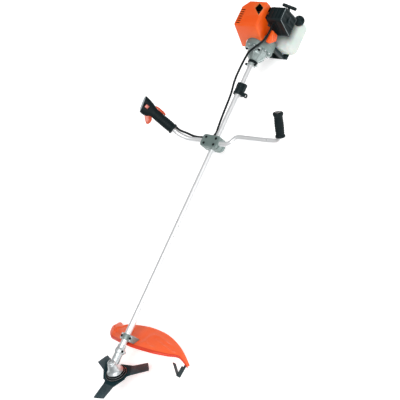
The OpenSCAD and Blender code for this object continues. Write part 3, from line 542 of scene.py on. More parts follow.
# %% Plates, boxes and cuts
def plate(outline, low, high, place=STILL):
    """An outline in the XY plane, pushed from one height to another."""
    shell = bmesh.new()
    rings = [[shell.verts.new((x, y, z)) for x, y in outline] for z in (low, high)]
    skin_rings(shell, rings)
    return moved(shell, place)


def box(low, high, place=STILL):
    outline = [(low[0], low[1]), (high[0], low[1]), (high[0], high[1]), (low[0], high[1])]
    return plate(outline, low[2], high[2], place)


def rounded_outline(low, high, radius, steps=6):
    """A rectangle in the XY plane with round corners."""
    points = []
    for cx, cy, start in ((high[0] - radius, high[1] - radius, 0), (low[0] + radius, high[1] - radius, 90),
                          (low[0] + radius, low[1] + radius, 180), (high[0] - radius, low[1] + radius, 270)):
        for k in range(steps + 1):
            angle = math.radians(start + 90 * k / steps)
            points.append((cx + radius * math.cos(angle), cy + radius * math.sin(angle)))
    return points


def loft(rings):
    """A shell through closed rings of points that have the same count."""
    shell = bmesh.new()
    skin_rings(shell, [[shell.verts.new(p) for p in ring] for ring in rings])
    return shell


def rounded(shell, width, rounds=3, angle=28):
    """The bmesh with its hard edges rounded."""
    bmesh.ops.recalc_face_normals(shell, faces=shell.faces)
    limit = math.radians(angle)
    edges = [e for e in shell.edges if len(e.link_faces) == 2 and e.calc_face_angle(0) > limit]
    bmesh.ops.bevel(shell, geom=edges, offset=width, segments=rounds, profile=0.5, affect="EDGES",
                    clamp_overlap=True)
    return shell


def combined(first, second, operation="DIFFERENCE"):
    """The exact boolean of two bmeshes, as a new bmesh."""
    holders = []
    for shell in (first, second):
        bmesh.ops.recalc_face_normals(shell, faces=shell.faces)
        mesh = bpy.data.meshes.new("blank")
        shell.to_mesh(mesh)
        shell.free()
        holder = bpy.data.objects.new("blank", mesh)
        bpy.context.scene.collection.objects.link(holder)
        holders.append(holder)
    cut = holders[0].modifiers.new("cut", "BOOLEAN")
    cut.object = holders[1]
    cut.operation = operation
    cut.solver = "EXACT"
    graph = bpy.context.evaluated_depsgraph_get()
    result = bmesh.new()
    mesh = bpy.data.meshes.new_from_object(holders[0].evaluated_get(graph))
    result.from_mesh(mesh)
    for holder in holders:
        bpy.data.objects.remove(holder)
    bpy.data.meshes.remove(mesh)
    return result


def cut_out(shell, *cutters):
    for cutter in cutters:
        shell = combined(shell, cutter)
    return shell


def screw_head(place, direction, radius, height):
    """A socket-head screw with a small washer, seen from outside."""
    washer = radius * 1.35
    profile = [(-0.6, washer), (0.3, washer), (0.31, radius), (height - 0.6, radius), (height, radius - 0.6),
               (height, radius * 0.55), (height - 1.6, radius * 0.5), (height - 1.6, 0)]
    return lathe(profile, steps=20, place=aimed(place, direction))


print("plates, boxes, cuts and screws ready")

# %% [markdown]
# ## Main tube
# The shaft is a plain drawn tube, so a turned ring with a small chamfer at each end is all it needs. Long
# faces with no cuts also give the cleanest highlight along its length. The drive shaft and its bushings sit
# inside it and keep their CAD solids, which only need a steel and a plastic finish.

# %% Main tube
TUBE_LENGTH = (tube_high.x - tube_low.x) / MM
TUBE_BORE = TUBE_R - 1.5


def dress(node, material):
    """Gives a CAD node that stays visible its finish."""
    holder = nodes[node]
    holder.data.materials.clear()
    holder.data.materials.append(material)


tube_ring = [(0, TUBE_BORE), (0, TUBE_R - 0.4), (0.4, TUBE_R), (TUBE_LENGTH - 0.4, TUBE_R),
             (TUBE_LENGTH, TUBE_R - 0.4), (TUBE_LENGTH, TUBE_BORE)]
piece("shaft_tube", ring_lathe(tube_ring, 64, Matrix.Translation((TUBE_START, 0, 0)) @ ALONG_X), TUBE,
      ["main_tube"])
for node in ("drive_shaft", "bearings", "pinion_gear", "crown_gear", "output_spindle", "blade_washer",
             "clutch_drum", "clutch_shoes", "crankshaft", "flywheel", "piston", "connecting_rod"):
    dress(node, DARK_STEEL)
dress("shaft_bushings", BLACK)
print("tube", round(TUBE_LENGTH), "mm long")

# %% [markdown]
# ## Handlebar
# The two bars are bent from the same tube. A bender leaves smooth curves with a constant section, which is
# what a sweep along a rounded path gives. The left bar kinks towards the engine, runs straight out, and
# then leans back and up for its grip. The right bar rises gently into the throttle handle.

# %% Handlebar tubes
BAR_ORIGIN = Vector((CLAMP_X, 0, BAR_Z))
LEFT_BENDS = [(0, -2, 0), (0, -53, 0), (0, -62, 0), (3, -90, 0), (14, -108, 0), (33, -121, 0), (45, -139, 0),
              (49, -190, 0), (53, -265, 0), (57, -322, 0), (61, -350, 0), (67, -367, 5)]
LEFT_FOOT = Vector((79, -374, 18))
LEFT_DIR = Vector((75, 0, 79)).normalized()
RIGHT_BENDS = [(0, 2, 0), (0, 53, 0), (0, 62, 0), (-4, 95, 5), (-9, 132, 16)]
RIGHT_FOOT = Vector((3, 195, 63))
GRIP_DIR = Vector((50, 125, 133)).normalized()
GRIP_LENGTH, GRIP_FROM = 112, -5
left_route = [Vector(p) for p in LEFT_BENDS] + [LEFT_FOOT + s * LEFT_DIR for s in (0, 2, 58, 108)]
right_route = [Vector(p) for p in RIGHT_BENDS] + [RIGHT_FOOT + s * GRIP_DIR for s in (-32, 0, 50, 108)]


def bent_bar(name, route, node):
    path = [BAR_ORIGIN + p for p in round_path(route, 8)]
    piece(name, sweep(path, BAR_R, 32, BAR_R - 2), TUBE, [node], sharp=60)


bent_bar("left_bar_tube", left_route, "left_handlebar")
bent_bar("right_bar_tube", right_route, "right_handlebar")
print("handlebars bent")

# %% [markdown]
# ## Plain grip
# The left hand holds a rubber sleeve with a wide pommel, so that a wet glove can't slide off. The sleeve
# has shallow finger rings and fine lengthwise ribs from the mould. A lathe makes the body, and each ring
# of it is scalloped a little to give the ribs.

# %% Left grip
def ribbed_lathe(profile, ribs, depth, place=STILL):
    """A turned solid whose radius also ripples round its axis where the profile asks for it."""
    shell = bmesh.new()
    steps = ribs * 4
    rings = []
    for height, radius, share in profile:
        ring = []
        for k in range(steps):
            angle = 2 * math.pi * k / steps
            reach = max(radius, 0.02) - share * depth * (0.5 - 0.5 * math.cos(ribs * angle))
            ring.append(shell.verts.new((reach * math.cos(angle), reach * math.sin(angle), height)))
        rings.append(ring)
    skin_rings(shell, rings)
    return moved(shell, place)


left_profile = [(0, 11, 0), (0, 20.5, 0), (1.5, 22, 0), (7, 22, 0), (9, 21, 0), (11, 18.8, 0), (13, 18.4, 1)]
for k in range(7):
    height = 15 + 11 * k
    swell = 18.6 + 1.2 * math.sin(math.pi * k / 6)
    left_profile += [(height, swell, 1), (height + 2, swell + 0.7, 1), (height + 6, swell + 0.7, 1),
                     (height + 8, swell, 1)]
left_profile += [(93, 19, 0), (96, 20.5, 0), (100, 22.6, 0), (106, 23, 0), (110, 21.5, 0),
                 (GRIP_LENGTH - 0.6, 18, 0), (GRIP_LENGTH, 10, 0), (GRIP_LENGTH, 0, 0)]
piece("left_grip_sleeve", ribbed_lathe(left_profile, 20, 0.9,
                                       aimed(BAR_ORIGIN + LEFT_FOOT + GRIP_FROM * LEFT_DIR, LEFT_DIR)),
      RUBBER, ["left_grip"], sharp=50)
print("left grip", GRIP_LENGTH, "mm long")

# %% [markdown]
# ## Throttle handle
# The right hand's handle is a hollow moulding in two halves. It starts with a round collar, goes on as an
# oval body with ten shallow ribs, and ends in a head that widens to hold the trigger's pivot and the stop
# switch. All of it is one loft along the grip's own axis. The head's rings are soft oblongs that lean more
# and more, so that the head ends on a slant, and the slots for the levers are cut last. A pale domed cap
# with a black rim closes the head's end.

# %% The handle's own directions
HANDLE_START = BAR_ORIGIN + RIGHT_FOOT
palm = Vector((0.94, -0.33, -0.05))
GRIP_BACK = (palm - GRIP_DIR * palm.dot(GRIP_DIR)).normalized()
HANDLE = Matrix((GRIP_BACK, GRIP_DIR.cross(GRIP_BACK), GRIP_DIR)).transposed().to_4x4()
HANDLE.translation = HANDLE_START
CAP_END = 190.6
SQUARENESS = 0.74  # 1 gives an ellipse, and less gives fuller corners
SLANT_FROM, SLANT_OVER = 126, 50
SLANT_TO_PALM, SLANT_TO_SIDE = 0.34, 0.22


def handle_ring(z, front, back, half, steps=40):
    """A soft oblong across the grip: reach towards the trigger, towards the palm, and half width. Past
    SLANT_FROM the ring leans, until its lean is full after SLANT_OVER more millimetres."""
    middle, reach = (back - front) / 2, (back + front) / 2
    slant = min(1, max(0, (z - SLANT_FROM) / SLANT_OVER))
    ring = []
    for k in range(steps):
        angle = 2 * math.pi * k / steps
        c, s = math.cos(angle), math.sin(angle)
        x = middle + reach * math.copysign(abs(c) ** SQUARENESS, c)
        y = half * math.copysign(abs(s) ** SQUARENESS, s)
        ring.append((x, y, z + slant * (SLANT_TO_PALM * x + SLANT_TO_SIDE * y)))
    return ring


def oval_ring(z, reach, half, steps=40):
    return [(reach * math.cos(2 * math.pi * k / steps), half * math.sin(2 * math.pi * k / steps), z)
            for k in range(steps)]


def round_ring(z, radius, steps=40):
    return oval_ring(z, radius, radius, steps)


# %% Handle body
def handle_body():
    rings = [round_ring(0, 12), round_ring(0, 23), round_ring(2, 25), round_ring(9, 25),
             round_ring(12, 22), oval_ring(16, 23, 20)]
    for k in range(10):
        z = 19 + 10 * k
        rings += [oval_ring(z, 23, 19.6), oval_ring(z + 2, 24, 20.4), oval_ring(z + 6, 24, 20.4),
                  oval_ring(z + 8, 23, 19.6)]
    rings += [handle_ring(128, 27, 26, 20.5), handle_ring(140, 34, 30, 21), handle_ring(152, 38, 33, 21.5),
              handle_ring(162, 40, 35, 22), handle_ring(172, 40, 36, 22), handle_ring(181, 39, 36, 22)]
    rings += [handle_ring(183.5, 37.5, 34.5, 20.8), handle_ring(184, 35, 32, 18.5)]
    return loft(rings)


body = cut_out(handle_body(), box((-60, -6.5, 98), (-11, 6.5, 158)), box((12, -6.5, 68), (50, 6.5, 141)),
               box((-9, -30, 149), (9, -13.6, 178)))
piece("throttle_handle_body", body, RUBBER, ["throttle_grip"], place=HANDLE, sharp=40)
end_cap = loft([handle_ring(183, 35.5, 32.5, 19), handle_ring(185, 35.5, 32.5, 19),
                handle_ring(187.5, 33, 30, 17), handle_ring(189.3, 28, 25, 13.5),
                handle_ring(190.3, 20, 17, 8), handle_ring(CAP_END, 8, 6, 3)])
piece("handle_end_cap", end_cap, GREY_BAND, place=HANDLE, sharp=60)
end_rim = [handle_ring(z, 39 + d, 36 + d, 22 + d) for z, d in
           ((182, 0), (182.3, 0.8), (184.8, 0.8), (185.6, -0.4), (185.6, -3))]
piece("handle_end_rim", loft(end_rim), BLACK, place=HANDLE, sharp=60)
print("throttle handle", round(CAP_END), "mm long")

# %% [markdown]
# ## Trigger, lock-out and stop switch
# These three are what fingers touch, so they are coloured and softly rounded. The trigger and the lock-out
# are thin curved levers cut from an outline. The switch is a slide with a raised, ribbed thumb pad. Each
# rides on its own body, because each one moves.

# %% Levers and switch
LEVER_TURN = Matrix.Rotation(math.radians(90), 4, "X")


def smooth_outline(points, steps=4):
    """A closed outline with its corners drawn as soft curves."""
    points = [Vector((x, y, 0)) for x, y in points]
    count, soft = len(points), []
    for i in range(count):
        a, b, c, d = (points[(i + k) % count] for k in (-1, 0, 1, 2))
        for k in range(steps):
            t = k / steps
            soft.append(0.5 * (2 * b + (c - a) * t + (2 * a - 5 * b + 4 * c - d) * t * t
                               + (3 * b - a - 3 * c + d) * t ** 3))
    return [(p.x, p.y) for p in soft]


def lever(name, outline, pivot, node, body_name):
    blade_part = moved(plate(smooth_outline(outline, 3), -5, 5), LEVER_TURN)
    pin = lathe([(-13, 1.95), (13, 1.95)], 16, aimed(pivot, (0, 1, 0)))
    piece(name, merged(rounded(blade_part, 1.1, 2, 50), pin), DEEP_ORANGE, [node],
          body_name, HANDLE, sharp=40)


lever("trigger_lever", [(-12, 154), (-24, 155), (-42, 140), (-61, 114), (-50, 103), (-30, 106), (-19, 122)],
      (-17, 0, 150), "throttle_trigger", "trigger")
lever("lockout_lever_arm", [(15, 138), (24, 139), (33, 122), (33, 84), (28, 72), (23, 76), (21, 116),
                            (14, 128)], (20, 0, 134), "lockout_lever", "lockout")
slide = rounded(box((-8, -18, 151), (8, -14, 168)), 0.8, 2)
pad = rounded(box((-7, -25.4, 152), (7, -17, 168)), 1.6, 3)
pad_ribs = [rounded(box((-5.6, -26.4, 154.4 + 3.4 * k), (5.6, -25, 156 + 3.4 * k)), 0.3, 1) for k in range(4)]
SWITCH_RED = finish("switch_red", (0.72, 0.055, 0.012), (0.52, 0.035, 0.010), 0.3, coat=0.2,
                    worn=(1, 0.7, 0.6), wear=0.8)
piece("stop_slide", merged(slide, pad, *pad_ribs), SWITCH_RED, ["stop_switch"], "switch",
      HANDLE, sharp=40)
print("levers and switch fitted")

# %% [markdown]
# ## Throttle cable
# A bowden cable runs from the handle, past the bar clamp's corner, along the tube and over the clutch
# housing to the carburettor. Its sheath is a wound conduit, so the surface is finely ringed. The sweep's
# rings stand a fixed distance apart, and every third one is a little smaller, which catches light as the
# real conduit does.

# %% Cable
CABLE_ROUTE = [(1107, 193, 92), (1099, 173, 71), (1100, 148, 50), (1097, 108, 34), (1106, 78, 16),
               (1122, 57, -2), (1130, 40, -8), (1150, 29, -5), (1178, 25, 3), (1244, 27, 8), (1335, 34, 8),
               (1375, 40, 10), (1406, 42, 15), (1440, 42, 18), (1471, 38, 22), (1500, 26, 33), (1521, 14, 43),
               (1545, -8, 58), (1581, -46, 63), (1604, -64, 63), (1630, -71, 61), (1673, -75, 62),
               (1699, -75, 62)]
CABLE_R = 5.2
RING_STEP, RING_GROOVE = 1.6, 0.55


def even_path(path, step):
    """The same curve with points a fixed distance apart."""
    even, left = [path[0]], step
    for a, b in zip(path, path[1:]):
        length, start = (b - a).length, 0.0
        while length - start >= left:
            start += left
            even.append(a + (b - a) * (start / length))
            left = step
        left -= length - start
    return even + [path[-1]]


conduit = even_path(round_path(CABLE_ROUTE, 8), RING_STEP)
piece("cable_conduit", sweep(conduit, lambda i: CABLE_R - RING_GROOVE * (i % 3 == 0), 14), SHEATH,
      ["throttle_cable"], sharp=80)
print("cable rings", len(conduit))

# %% [markdown]
# ## Handlebar clamp
# Three cast blocks squeeze the bars and the shaft together: a base under the tube, a middle between tube
# and bars, and a cap on top. The castings are soft rectangles with round corners, and the base has a
# deeper, rounder belly. Four black bolts sit in counterbores.

# %% Clamp blocks
BOLT_X, BOLT_Y = 15, 30
HALF_ALONG, HALF_ACROSS = 30, 52


def clamp_block(low, high, corner, inset=0.0):
    along, across = HALF_ALONG - inset, HALF_ACROSS - inset
    return plate(rounded_outline((CLAMP_X - along, -across), (CLAMP_X + along, across), corner), low, high)


def along_tube(radius, start=CLAMP_X - 60, end=CLAMP_X + 60):
    return lathe([(start, radius), (end, radius)], 64, ALONG_X)


def along_bar(radius):
    return lathe([(-80, radius), (80, radius)], 48, aimed((CLAMP_X, 0, BAR_Z), (0, 1, 0)))


def four_bolts():
    return [(CLAMP_X + s * BOLT_X, t * BOLT_Y) for s in (-1, 1) for t in (-1, 1)]


base = combined(rounded(clamp_block(-9, -1, 14), 1.4, 3, 60), rounded(clamp_block(-20, -6, 22, 1), 5, 4, 60),
                "UNION")
base = cut_out(base, along_tube(TUBE_R + 0.05))
piece("bar_clamp_lower", base, GREY_CAST, ["bar_clamp_base"], sharp=35)
middle = cut_out(rounded(clamp_block(1, BAR_Z - 1, 14), 1.4, 3, 60), along_tube(TUBE_R + 0.05),
                 along_bar(BAR_R + 0.05))
piece("bar_clamp_centre", middle, GREY_CAST, ["bar_clamp_middle"], sharp=35)
CAP_TOP = BAR_Z + BAR_R + 5
cap = rounded(clamp_block(BAR_Z + 1, CAP_TOP, 15), 3.4, 4, 60)
cap = cut_out(cap, along_bar(BAR_R + 0.05),
              *[lathe([(CAP_TOP - 3, 6.4), (CAP_TOP + 4, 7.2)], 24, Matrix.Translation((x, y, 0)))
                for x, y in four_bolts()])
piece("bar_clamp_top", cap, GREY_CAST, ["bar_clamp_cap"], sharp=35)
bolts = [screw_head((x, y, CAP_TOP - 2.6), (0, 0, 1), 5.2, 5) for x, y in four_bolts()]
bolts += [lathe([(-23, 5), (-19, 5)], 6, Matrix.Translation((x, y, 0))) for x, y in four_bolts()]
piece("bar_clamp_screws", merged(*bolts), BLACK_SCREW, ["bar_clamp_bolts"], sharp=35)
print("clamp top at", round(CAP_TOP), "mm")

# %% [markdown]
# ## Harness bracket
# The carrying strap hooks into an eye on a two-part plastic clamp. Thick ribs across the shell stop it
# from bending under the machine's weight. Each half is a half ring with a flange, ribs and a bevelled
# edge. The eye is a lug beside the tube, just under the flange.

# %% Harness clamp
HARNESS_X = 1375
EYE = Vector((HARNESS_X - 23, -(TUBE_R + 24), -10))
SHELL_R = TUBE_R + 9
WING_Y = TUBE_R + 12
ACROSS = Matrix(((0, 0, 1, 0), (1, 0, 0, 0), (0, 1, 0, 0), (0, 0, 0, 1)))


def half_ring(outer, wing_low, wing_high, sign, wing_y):
    """Cross-section of a half shell with a flange, in the plane across the tube."""
    start = math.degrees(math.asin(min(0.99, wing_high / outer)))
    arc = [math.radians(start + (180 - 2 * start) * k / 28) for k in range(29)]
    inner = [math.radians(3 + 174 * k / 28) for k in range(29)]
    points = [(outer * math.cos(a), outer * math.sin(a)) for a in arc]
    if wing_y:
        points = [(wing_y, wing_low), (wing_y, wing_high), *points, (-wing_y, wing_high), (-wing_y, wing_low)]
    bore = TUBE_R + 0.1
    points += [(bore * math.cos(a), max(wing_low, bore * math.sin(a))) for a in reversed(inner)]
    return [(y, sign * z) for y, z in points]


def half_shell(sign, wing_low, wing_high):
    body_part = rounded(plate(half_ring(SHELL_R - 2, wing_low, wing_high, sign, WING_Y), HARNESS_X - 28,
                              HARNESS_X + 28, ACROSS), 1.1, 2, 40)
    rib = half_ring(SHELL_R + 0.6, wing_high - 1, wing_high, sign, 0)
    ribs = [rounded(plate(rib, HARNESS_X + x, HARNESS_X + x + 5, ACROSS), 1.2, 2, 40)
            for x in (-27, -11.5, 5.5, 22)]
    return merged(body_part, *ribs)


piece("harness_shell_top", half_shell(1, 1, 7), BLACK, ["harness_clamp_cap"], sharp=35)
lug = combined(box((EYE.x - 9, EYE.y - 3, -7), (EYE.x + 9, -TUBE_R - 8, 0)),
               lathe([(-3, 10.5), (3, 10.5)], 36, aimed(EYE, (0, 1, 0))), "UNION")
lug = cut_out(lug, lathe([(-9, 5.5), (12, 5.5)], 36, aimed(EYE, (0, 1, 0))))
piece("harness_shell_low", merged(half_shell(-1, 0, 7), rounded(lug, 0.7, 2, 50)), BLACK,
      ["harness_bracket"], sharp=35)
print("harness eye at", [round(v) for v in EYE])

# %% [markdown]
# ## Gear case
# The head is one bell-shaped casting. It turns the shaft's spin through about sixty degrees with a pair of
# bevel gears, and it flares to a wide flange that keeps grass out of the lower bearing. The bell and the
# tube socket are both turned shapes, joined by a boolean so that a real corner runs between them. The
# socket is split on one side, where a screw through its ears pinches it onto the tube.

# %% Gear case
BELL = [(-30, 15), (-30, 35.4), (-29.2, 36.4), (-26.2, 36.4), (-25.2, 35.4), (-23.4, 32.4), (-20, 29.2),
        (-15, 26.6), (-8, 24.8), (0, 23.2), (8, 21.4), (13.4, 19.6), (14.4, 17.4), (15.6, 16.4), (16.6, 17),
        (17.6, 18), (23, 17.8), (25.6, 16.4), (27.2, 13.6), (28, 9.5), (28, 0)]
SOCKET = [(2, 15), (14, 17.4), (32, 18.6), (33, 19.8), (36, 19.8), (37, 18.4), (40, 18.4), (41, 19.8),
          (44, 19.8), (45, 18.8), (60, 19.2), (61.5, 21.4), (64, 22.4), (80, 22.4), (82, 21.2), (84, 19.4),
          (98.8, 19), (100, 18)]
bell = lathe(BELL, 56, HEAD)
socket = lathe(SOCKET, 56, ALONG_X)
case = combined(bell, socket, "UNION")
ears = rounded(box((64, -27.5, -8), (80, -14, 8)), 1.8, 3)
case = combined(case, ears, "UNION")
rear_ear = rounded(box((65, 17, -6), (79, 25.5, 6)), 1.8, 3)
case = combined(case, rear_ear, "UNION")
case = cut_out(case, lathe([(TUBE_START - 1, TUBE_R + 0.05), (110, TUBE_R + 0.05)], 56, ALONG_X),
               box((60, -40, -0.9), (104, 0, 0.9)))
piece("head_casting", case, CAST, ["gear_case"], sharp=38)
plug = lathe([(28, 8), (30.4, 8), (31, 7.2), (31, 0)], 6, HEAD)
piece("grease_screw", plug, BRIGHT, ["grease_plug"], sharp=30)
print("gear case: bell", len(BELL), "steps, socket to", SOCKET[-1][0], "mm")

# %% [markdown]
# ## Blade and its mounting
# The blade is 1.6 mm spring steel with three wide teeth. The discs that clamp it are dark, and only their
# machined rims are bright. The teeth are ground to an edge along both long sides, so each tooth gets a
# narrow band of bare steel along each of them, on top of the lacquered plate.

# %% Blade
BLADE_TOP = -47
BLADE_T = 1.6
BLADE_R = 150
TOOTH = [(20, -37.1), (63, -30.2), (150, -30.7), (144, 22.3), (75, 28.6), (20, 58.3)]
TOOTH_ANGLES = [-46 + 120 * k for k in range(3)]


def turned(outline, degrees):
    c, s = math.cos(math.radians(degrees)), math.sin(math.radians(degrees))
    return [(c * x - s * y, s * x + c * y) for x, y in outline]


disc = lathe([(BLADE_TOP - BLADE_T, 58), (BLADE_TOP, 58)], 72)
for angle in TOOTH_ANGLES:
    disc = combined(disc, plate(turned(TOOTH, angle), BLADE_TOP - BLADE_T, BLADE_TOP), "UNION")
disc = combined(disc, lathe([(BLADE_TOP - 4, BLADE_R), (BLADE_TOP + 4, BLADE_R)], 120), "INTERSECT")
disc = cut_out(disc, lathe([(BLADE_TOP - 6, 12.7), (BLADE_TOP + 6, 12.7)], 48))
piece("tooth_blade", rounded(disc, 0.35, 2, 50), BLADE_STEEL, ["blade"], "blade_set", HEAD,
      sharp=30)


def edge_band(start, end, wide):
    """A thin ground band just inside one edge of a tooth."""
    a, b = Vector((*start, 0)), Vector((*end, 0))
    inward = Vector((0, 0, 1)).cross(b - a).normalized() * wide
    return [(a.x, a.y), (b.x, b.y), (b.x + inward.x, b.y + inward.y), (a.x + inward.x, a.y + inward.y)]


bands = []
for angle in TOOTH_ANGLES:
    for start, end in (((72, -30.3), (146, -30.6)), ((143.6, 22.1), (80, 28))):
        bands.append(plate(turned(edge_band(start, end, 3.2), angle), BLADE_TOP + 0.002, BLADE_TOP + 0.12))
EDGE_STEEL = finish("ground_edge_steel", (0.10, 0.16, 0.19), (0.06, 0.10, 0.13), 0.3, metal=0.7, grain=2200,
                    bump=0.03)
piece("blade_ground_edges", merged(*bands), EDGE_STEEL, body="blade_set", place=HEAD)
print("blade", 2 * BLADE_R, "mm over its tips")

# %% Clamping discs, cup and nut
discs = lathe([(-48.6, 12.6), (-47, 12.6), (-46.99, 46.6), (-46, 48), (-42, 48), (-41, 47), (-41, 41),
               (-40.4, 40), (-37, 40), (-36, 39), (-36, 30), (-34.4, 24), (-33, 22), (-31.2, 22),
               (-31.2, 5.1)], 64)
piece("holder_discs", discs, BLACK_SCREW, ["blade_holder"], "blade_set", HEAD, sharp=28)
rims = [ring_lathe([(z - 0.35, r - 0.8), (z - 0.35, r + 0.12), (z + 0.3, r + 0.12), (z + 0.5, r - 0.5)], 64)
        for z, r in ((-41.7, 47.7), (-36.7, 39.7))]
piece("holder_bright_rims", merged(*rims), BRIGHT, body="blade_set", place=HEAD, sharp=50)
cup = lathe([(-68.6, 14), (-68.6, 16.4), (-67.6, 17.6), (-60, 23.4), (-54, 28.6), (-52.9, 30), (-52.7, 30),
             (-52.7, 5.1)], 48)
piece("nut_cup", cup, BLACK_SCREW, ["nut_cover"], "blade_set", HEAD, sharp=28)
dress("blade_nut", BRIGHT)
print("blade mounting fitted")

# %% [markdown]
# ## Guard
# The guard is one thin moulding. Its front edge turns down in a lip, its top is broad and slightly crowned,
# and its rear wall drops to the ground. Each station across the blade gives the front and rear edges, and
# the points between them are smoothed. A little relief is added to the top: a raised lobe on the left and
# long shallow creases that stiffen the sheet. The inner skin is the outer one moved in by 3 mm. The wall
# reaches the floor, so `ground` lifts every point that would sink below it.

# %% Guard stations
GUARD_STATIONS = [(208, 186, -6, 214, -6), (198, 170, -5, 232, -5), (180, 152, 0, 229, 0),
                  (160, 139, 5, 220, 5), (145, 131, 9, 217, 9), (126, 126, 13, 226, 12),
                  (62, 112, 30, 238, 20), (0, 104, 42, 248, 22), (-41, 106, 40, 253, 18),
                  (-90, 118, 30, 254, 12), (-138, 132, 20, 248, 2), (-190, 158, 2, 232, -8),
                  (-232, 180, -12, 212, -20), (-275, 172, -45, 186, -50)]
GUARD_T = 3
GUARD_DEPTH = 130
LIP = 9
STEPS_BETWEEN = 7


def ease(value, low, high):
    t = min(1, max(0, (value - low) / (high - low)))
    return t * t * (3 - 2 * t)


def crease(v, t, start, end, wide, height):
    """A long ridge between two (across, share) points on the guard's top."""
    ax, ay, bx, by = start[0], start[1] * GUARD_DEPTH, end[0], end[1] * GUARD_DEPTH
    px, py = v, t * GUARD_DEPTH
    run = ((bx - ax) ** 2 + (by - ay) ** 2)
    share = min(1, max(0, ((px - ax) * (bx - ax) + (py - ay) * (by - ay)) / run))
    away = math.hypot(px - ax - share * (bx - ax), py - ay - share * (by - ay))
    return height * math.exp(-(away / wide) ** 2)


def guard_relief(v, t):
    """Height added to the guard's top at a place across and a share from front to rear."""
    crown = 5 * math.sin(math.pi * t) * (1 - ease(abs(v), 170, 250))
    clear = 1 - 0.9 * (ease(v, -60, -40) - ease(v, 40, 62))
    lobe = 7 * ease(v, 138, 160) * (1 - ease(v, 184, 205)) * math.sin(math.pi * min(1, t * 1.02))
    groove = crease(v, t, (84, 0.25), (176, 0.5), 6, -5) + crease(v, t, (118, 0.95), (148, 0.6), 6, -4)
    ridges = crease(v, t, (-62, 0.3), (-118, 0.16), 5, 6) + crease(v, t, (-100, 0.55), (-210, 0.3), 5, 5)
    ridges += crease(v, t, (-70, 0.75), (-170, 0.68), 5, 4.5)
    return crown * clear + lobe + groove + ridges


# %% Guard shell
def ground(u, k):
    """The height k at reach u, kept on or above the floor."""
    return max(k, (FLOOR_Z + u * math.sin(HEAD_ANGLE)) / math.cos(HEAD_ANGLE))


def section(station):
    """The outer line of one station, from the lip's lower edge over the top to the rear wall's foot."""
    v, front_u, front_k, rear_u, rear_k = station
    foot = min(ground(rear_u + GUARD_T, -999), rear_k - 1)
    corner = min(5, (rear_u - front_u) / 4)
    line = [(front_u - 0.4, front_k - LIP), (front_u, front_k - LIP * 0.55), (front_u + 0.4, front_k - 2.2),
            (front_u + 1.4, front_k - 0.6)]
    slope = (rear_k - front_k) / (rear_u - front_u)
    for j in range(17):
        t = j / 16
        u = front_u + corner * 0.7 + t * (rear_u - corner - front_u - corner * 0.7)
        line.append((u, front_k + slope * (u - front_u) + guard_relief(v, t)))
    line += [(rear_u - 1.5, rear_k - 0.6), (rear_u + 0.6, rear_k - 2.6)]
    drop = foot - rear_k
    line += [(rear_u + 1 + 2 * s, rear_k + min(-3, drop * s)) for s in (0.15, 0.5, 0.98)]
    line.append((rear_u + GUARD_T, min(foot, rear_k - 4)))
    return v, [(u, ground(u, k)) for u, k in line]


def guard_ring(station):
    v, line = section(station)
    outer = [Vector((u, v, k)) for u, k in line]
    inner = []
    for i, (u, k) in enumerate(line):
        a, b = line[max(i - 1, 0)], line[min(i + 1, len(line) - 1)]
        along = Vector((b[0] - a[0], b[1] - a[1])).normalized()
        u, k = u + along.y * GUARD_T, k - along.x * GUARD_T
        inner.append(Vector((u, v, ground(u, k))))
    return outer + inner[::-1]


def between(stations, steps):
    """Catmull-Rom stations between the given ones."""
    fronts = round_path([s[:3] for s in stations], steps)
    rears = round_path([(s[0], s[3], s[4]) for s in stations], steps)
    return [(a.x, a.y, a.z, b.y, b.z) for a, b in zip(fronts, rears)]


guard_rings = [guard_ring(s) for s in between(GUARD_STATIONS, STEPS_BETWEEN)]
piece("blade_guard_moulding", loft(guard_rings), CORAL, ["guard"], place=HEAD, sharp=50)
print("guard rings", len(guard_rings))

# %% [markdown]
# The lip along the guard's front is painted a deeper red than the rest. This is painted shade: the lip is
# thicker, and less light passes through it. A thin skin over the lip and the first centimetre of the top
# gives that band.

# %% Lip band
def lip_ring(station):
    v, line = section(station)
    line = line[:6]
    outer, inner = [], []
    for i, (u, k) in enumerate(line):
        a, b = line[max(i - 1, 0)], line[min(i + 1, len(line) - 1)]
        along = Vector((b[0] - a[0], b[1] - a[1])).normalized()
        outer.append(Vector((u - along.y * 0.8, v, k + along.x * 0.8)))
        inner.append(Vector((u + along.y, v, k - along.x)))
    return outer + inner[::-1]


# Deeper red for the lip and the front of the top: painted shade.
LIP_PAINTED_SHADE = finish("lip_painted_shade", (0.80, 0.050, 0.012), (0.70, 0.035, 0.01), 0.35, coat=0.2, grain=1100,
                 bump=0.04)
lip_rings = [lip_ring(s) for s in between(GUARD_STATIONS, STEPS_BETWEEN)]
piece("guard_lip_painted_shade", loft(lip_rings), LIP_PAINTED_SHADE, place=HEAD, sharp=60)
print("lip rings", len(lip_rings))

# %% [markdown]
# ## Guard bracket
# A cast saddle under the tube carries the guard, and a half ring over the tube clamps it. The saddle's
# underside follows the slope of the guard. Bright bolts go down through both ears.

# %% Saddle and clamp
GUARD_AT, BRACKET, EAR = 122, 30, TUBE_R + 20


def guard_height(x):
    """Height of the guard's straight centre line at a distance along the tube."""
    front, rear = HEAD @ Vector((104, 0, 42)), HEAD @ Vector((248, 0, 22))
    return front.z + (rear.z - front.z) * (x - front.x) / (rear.x - front.x)


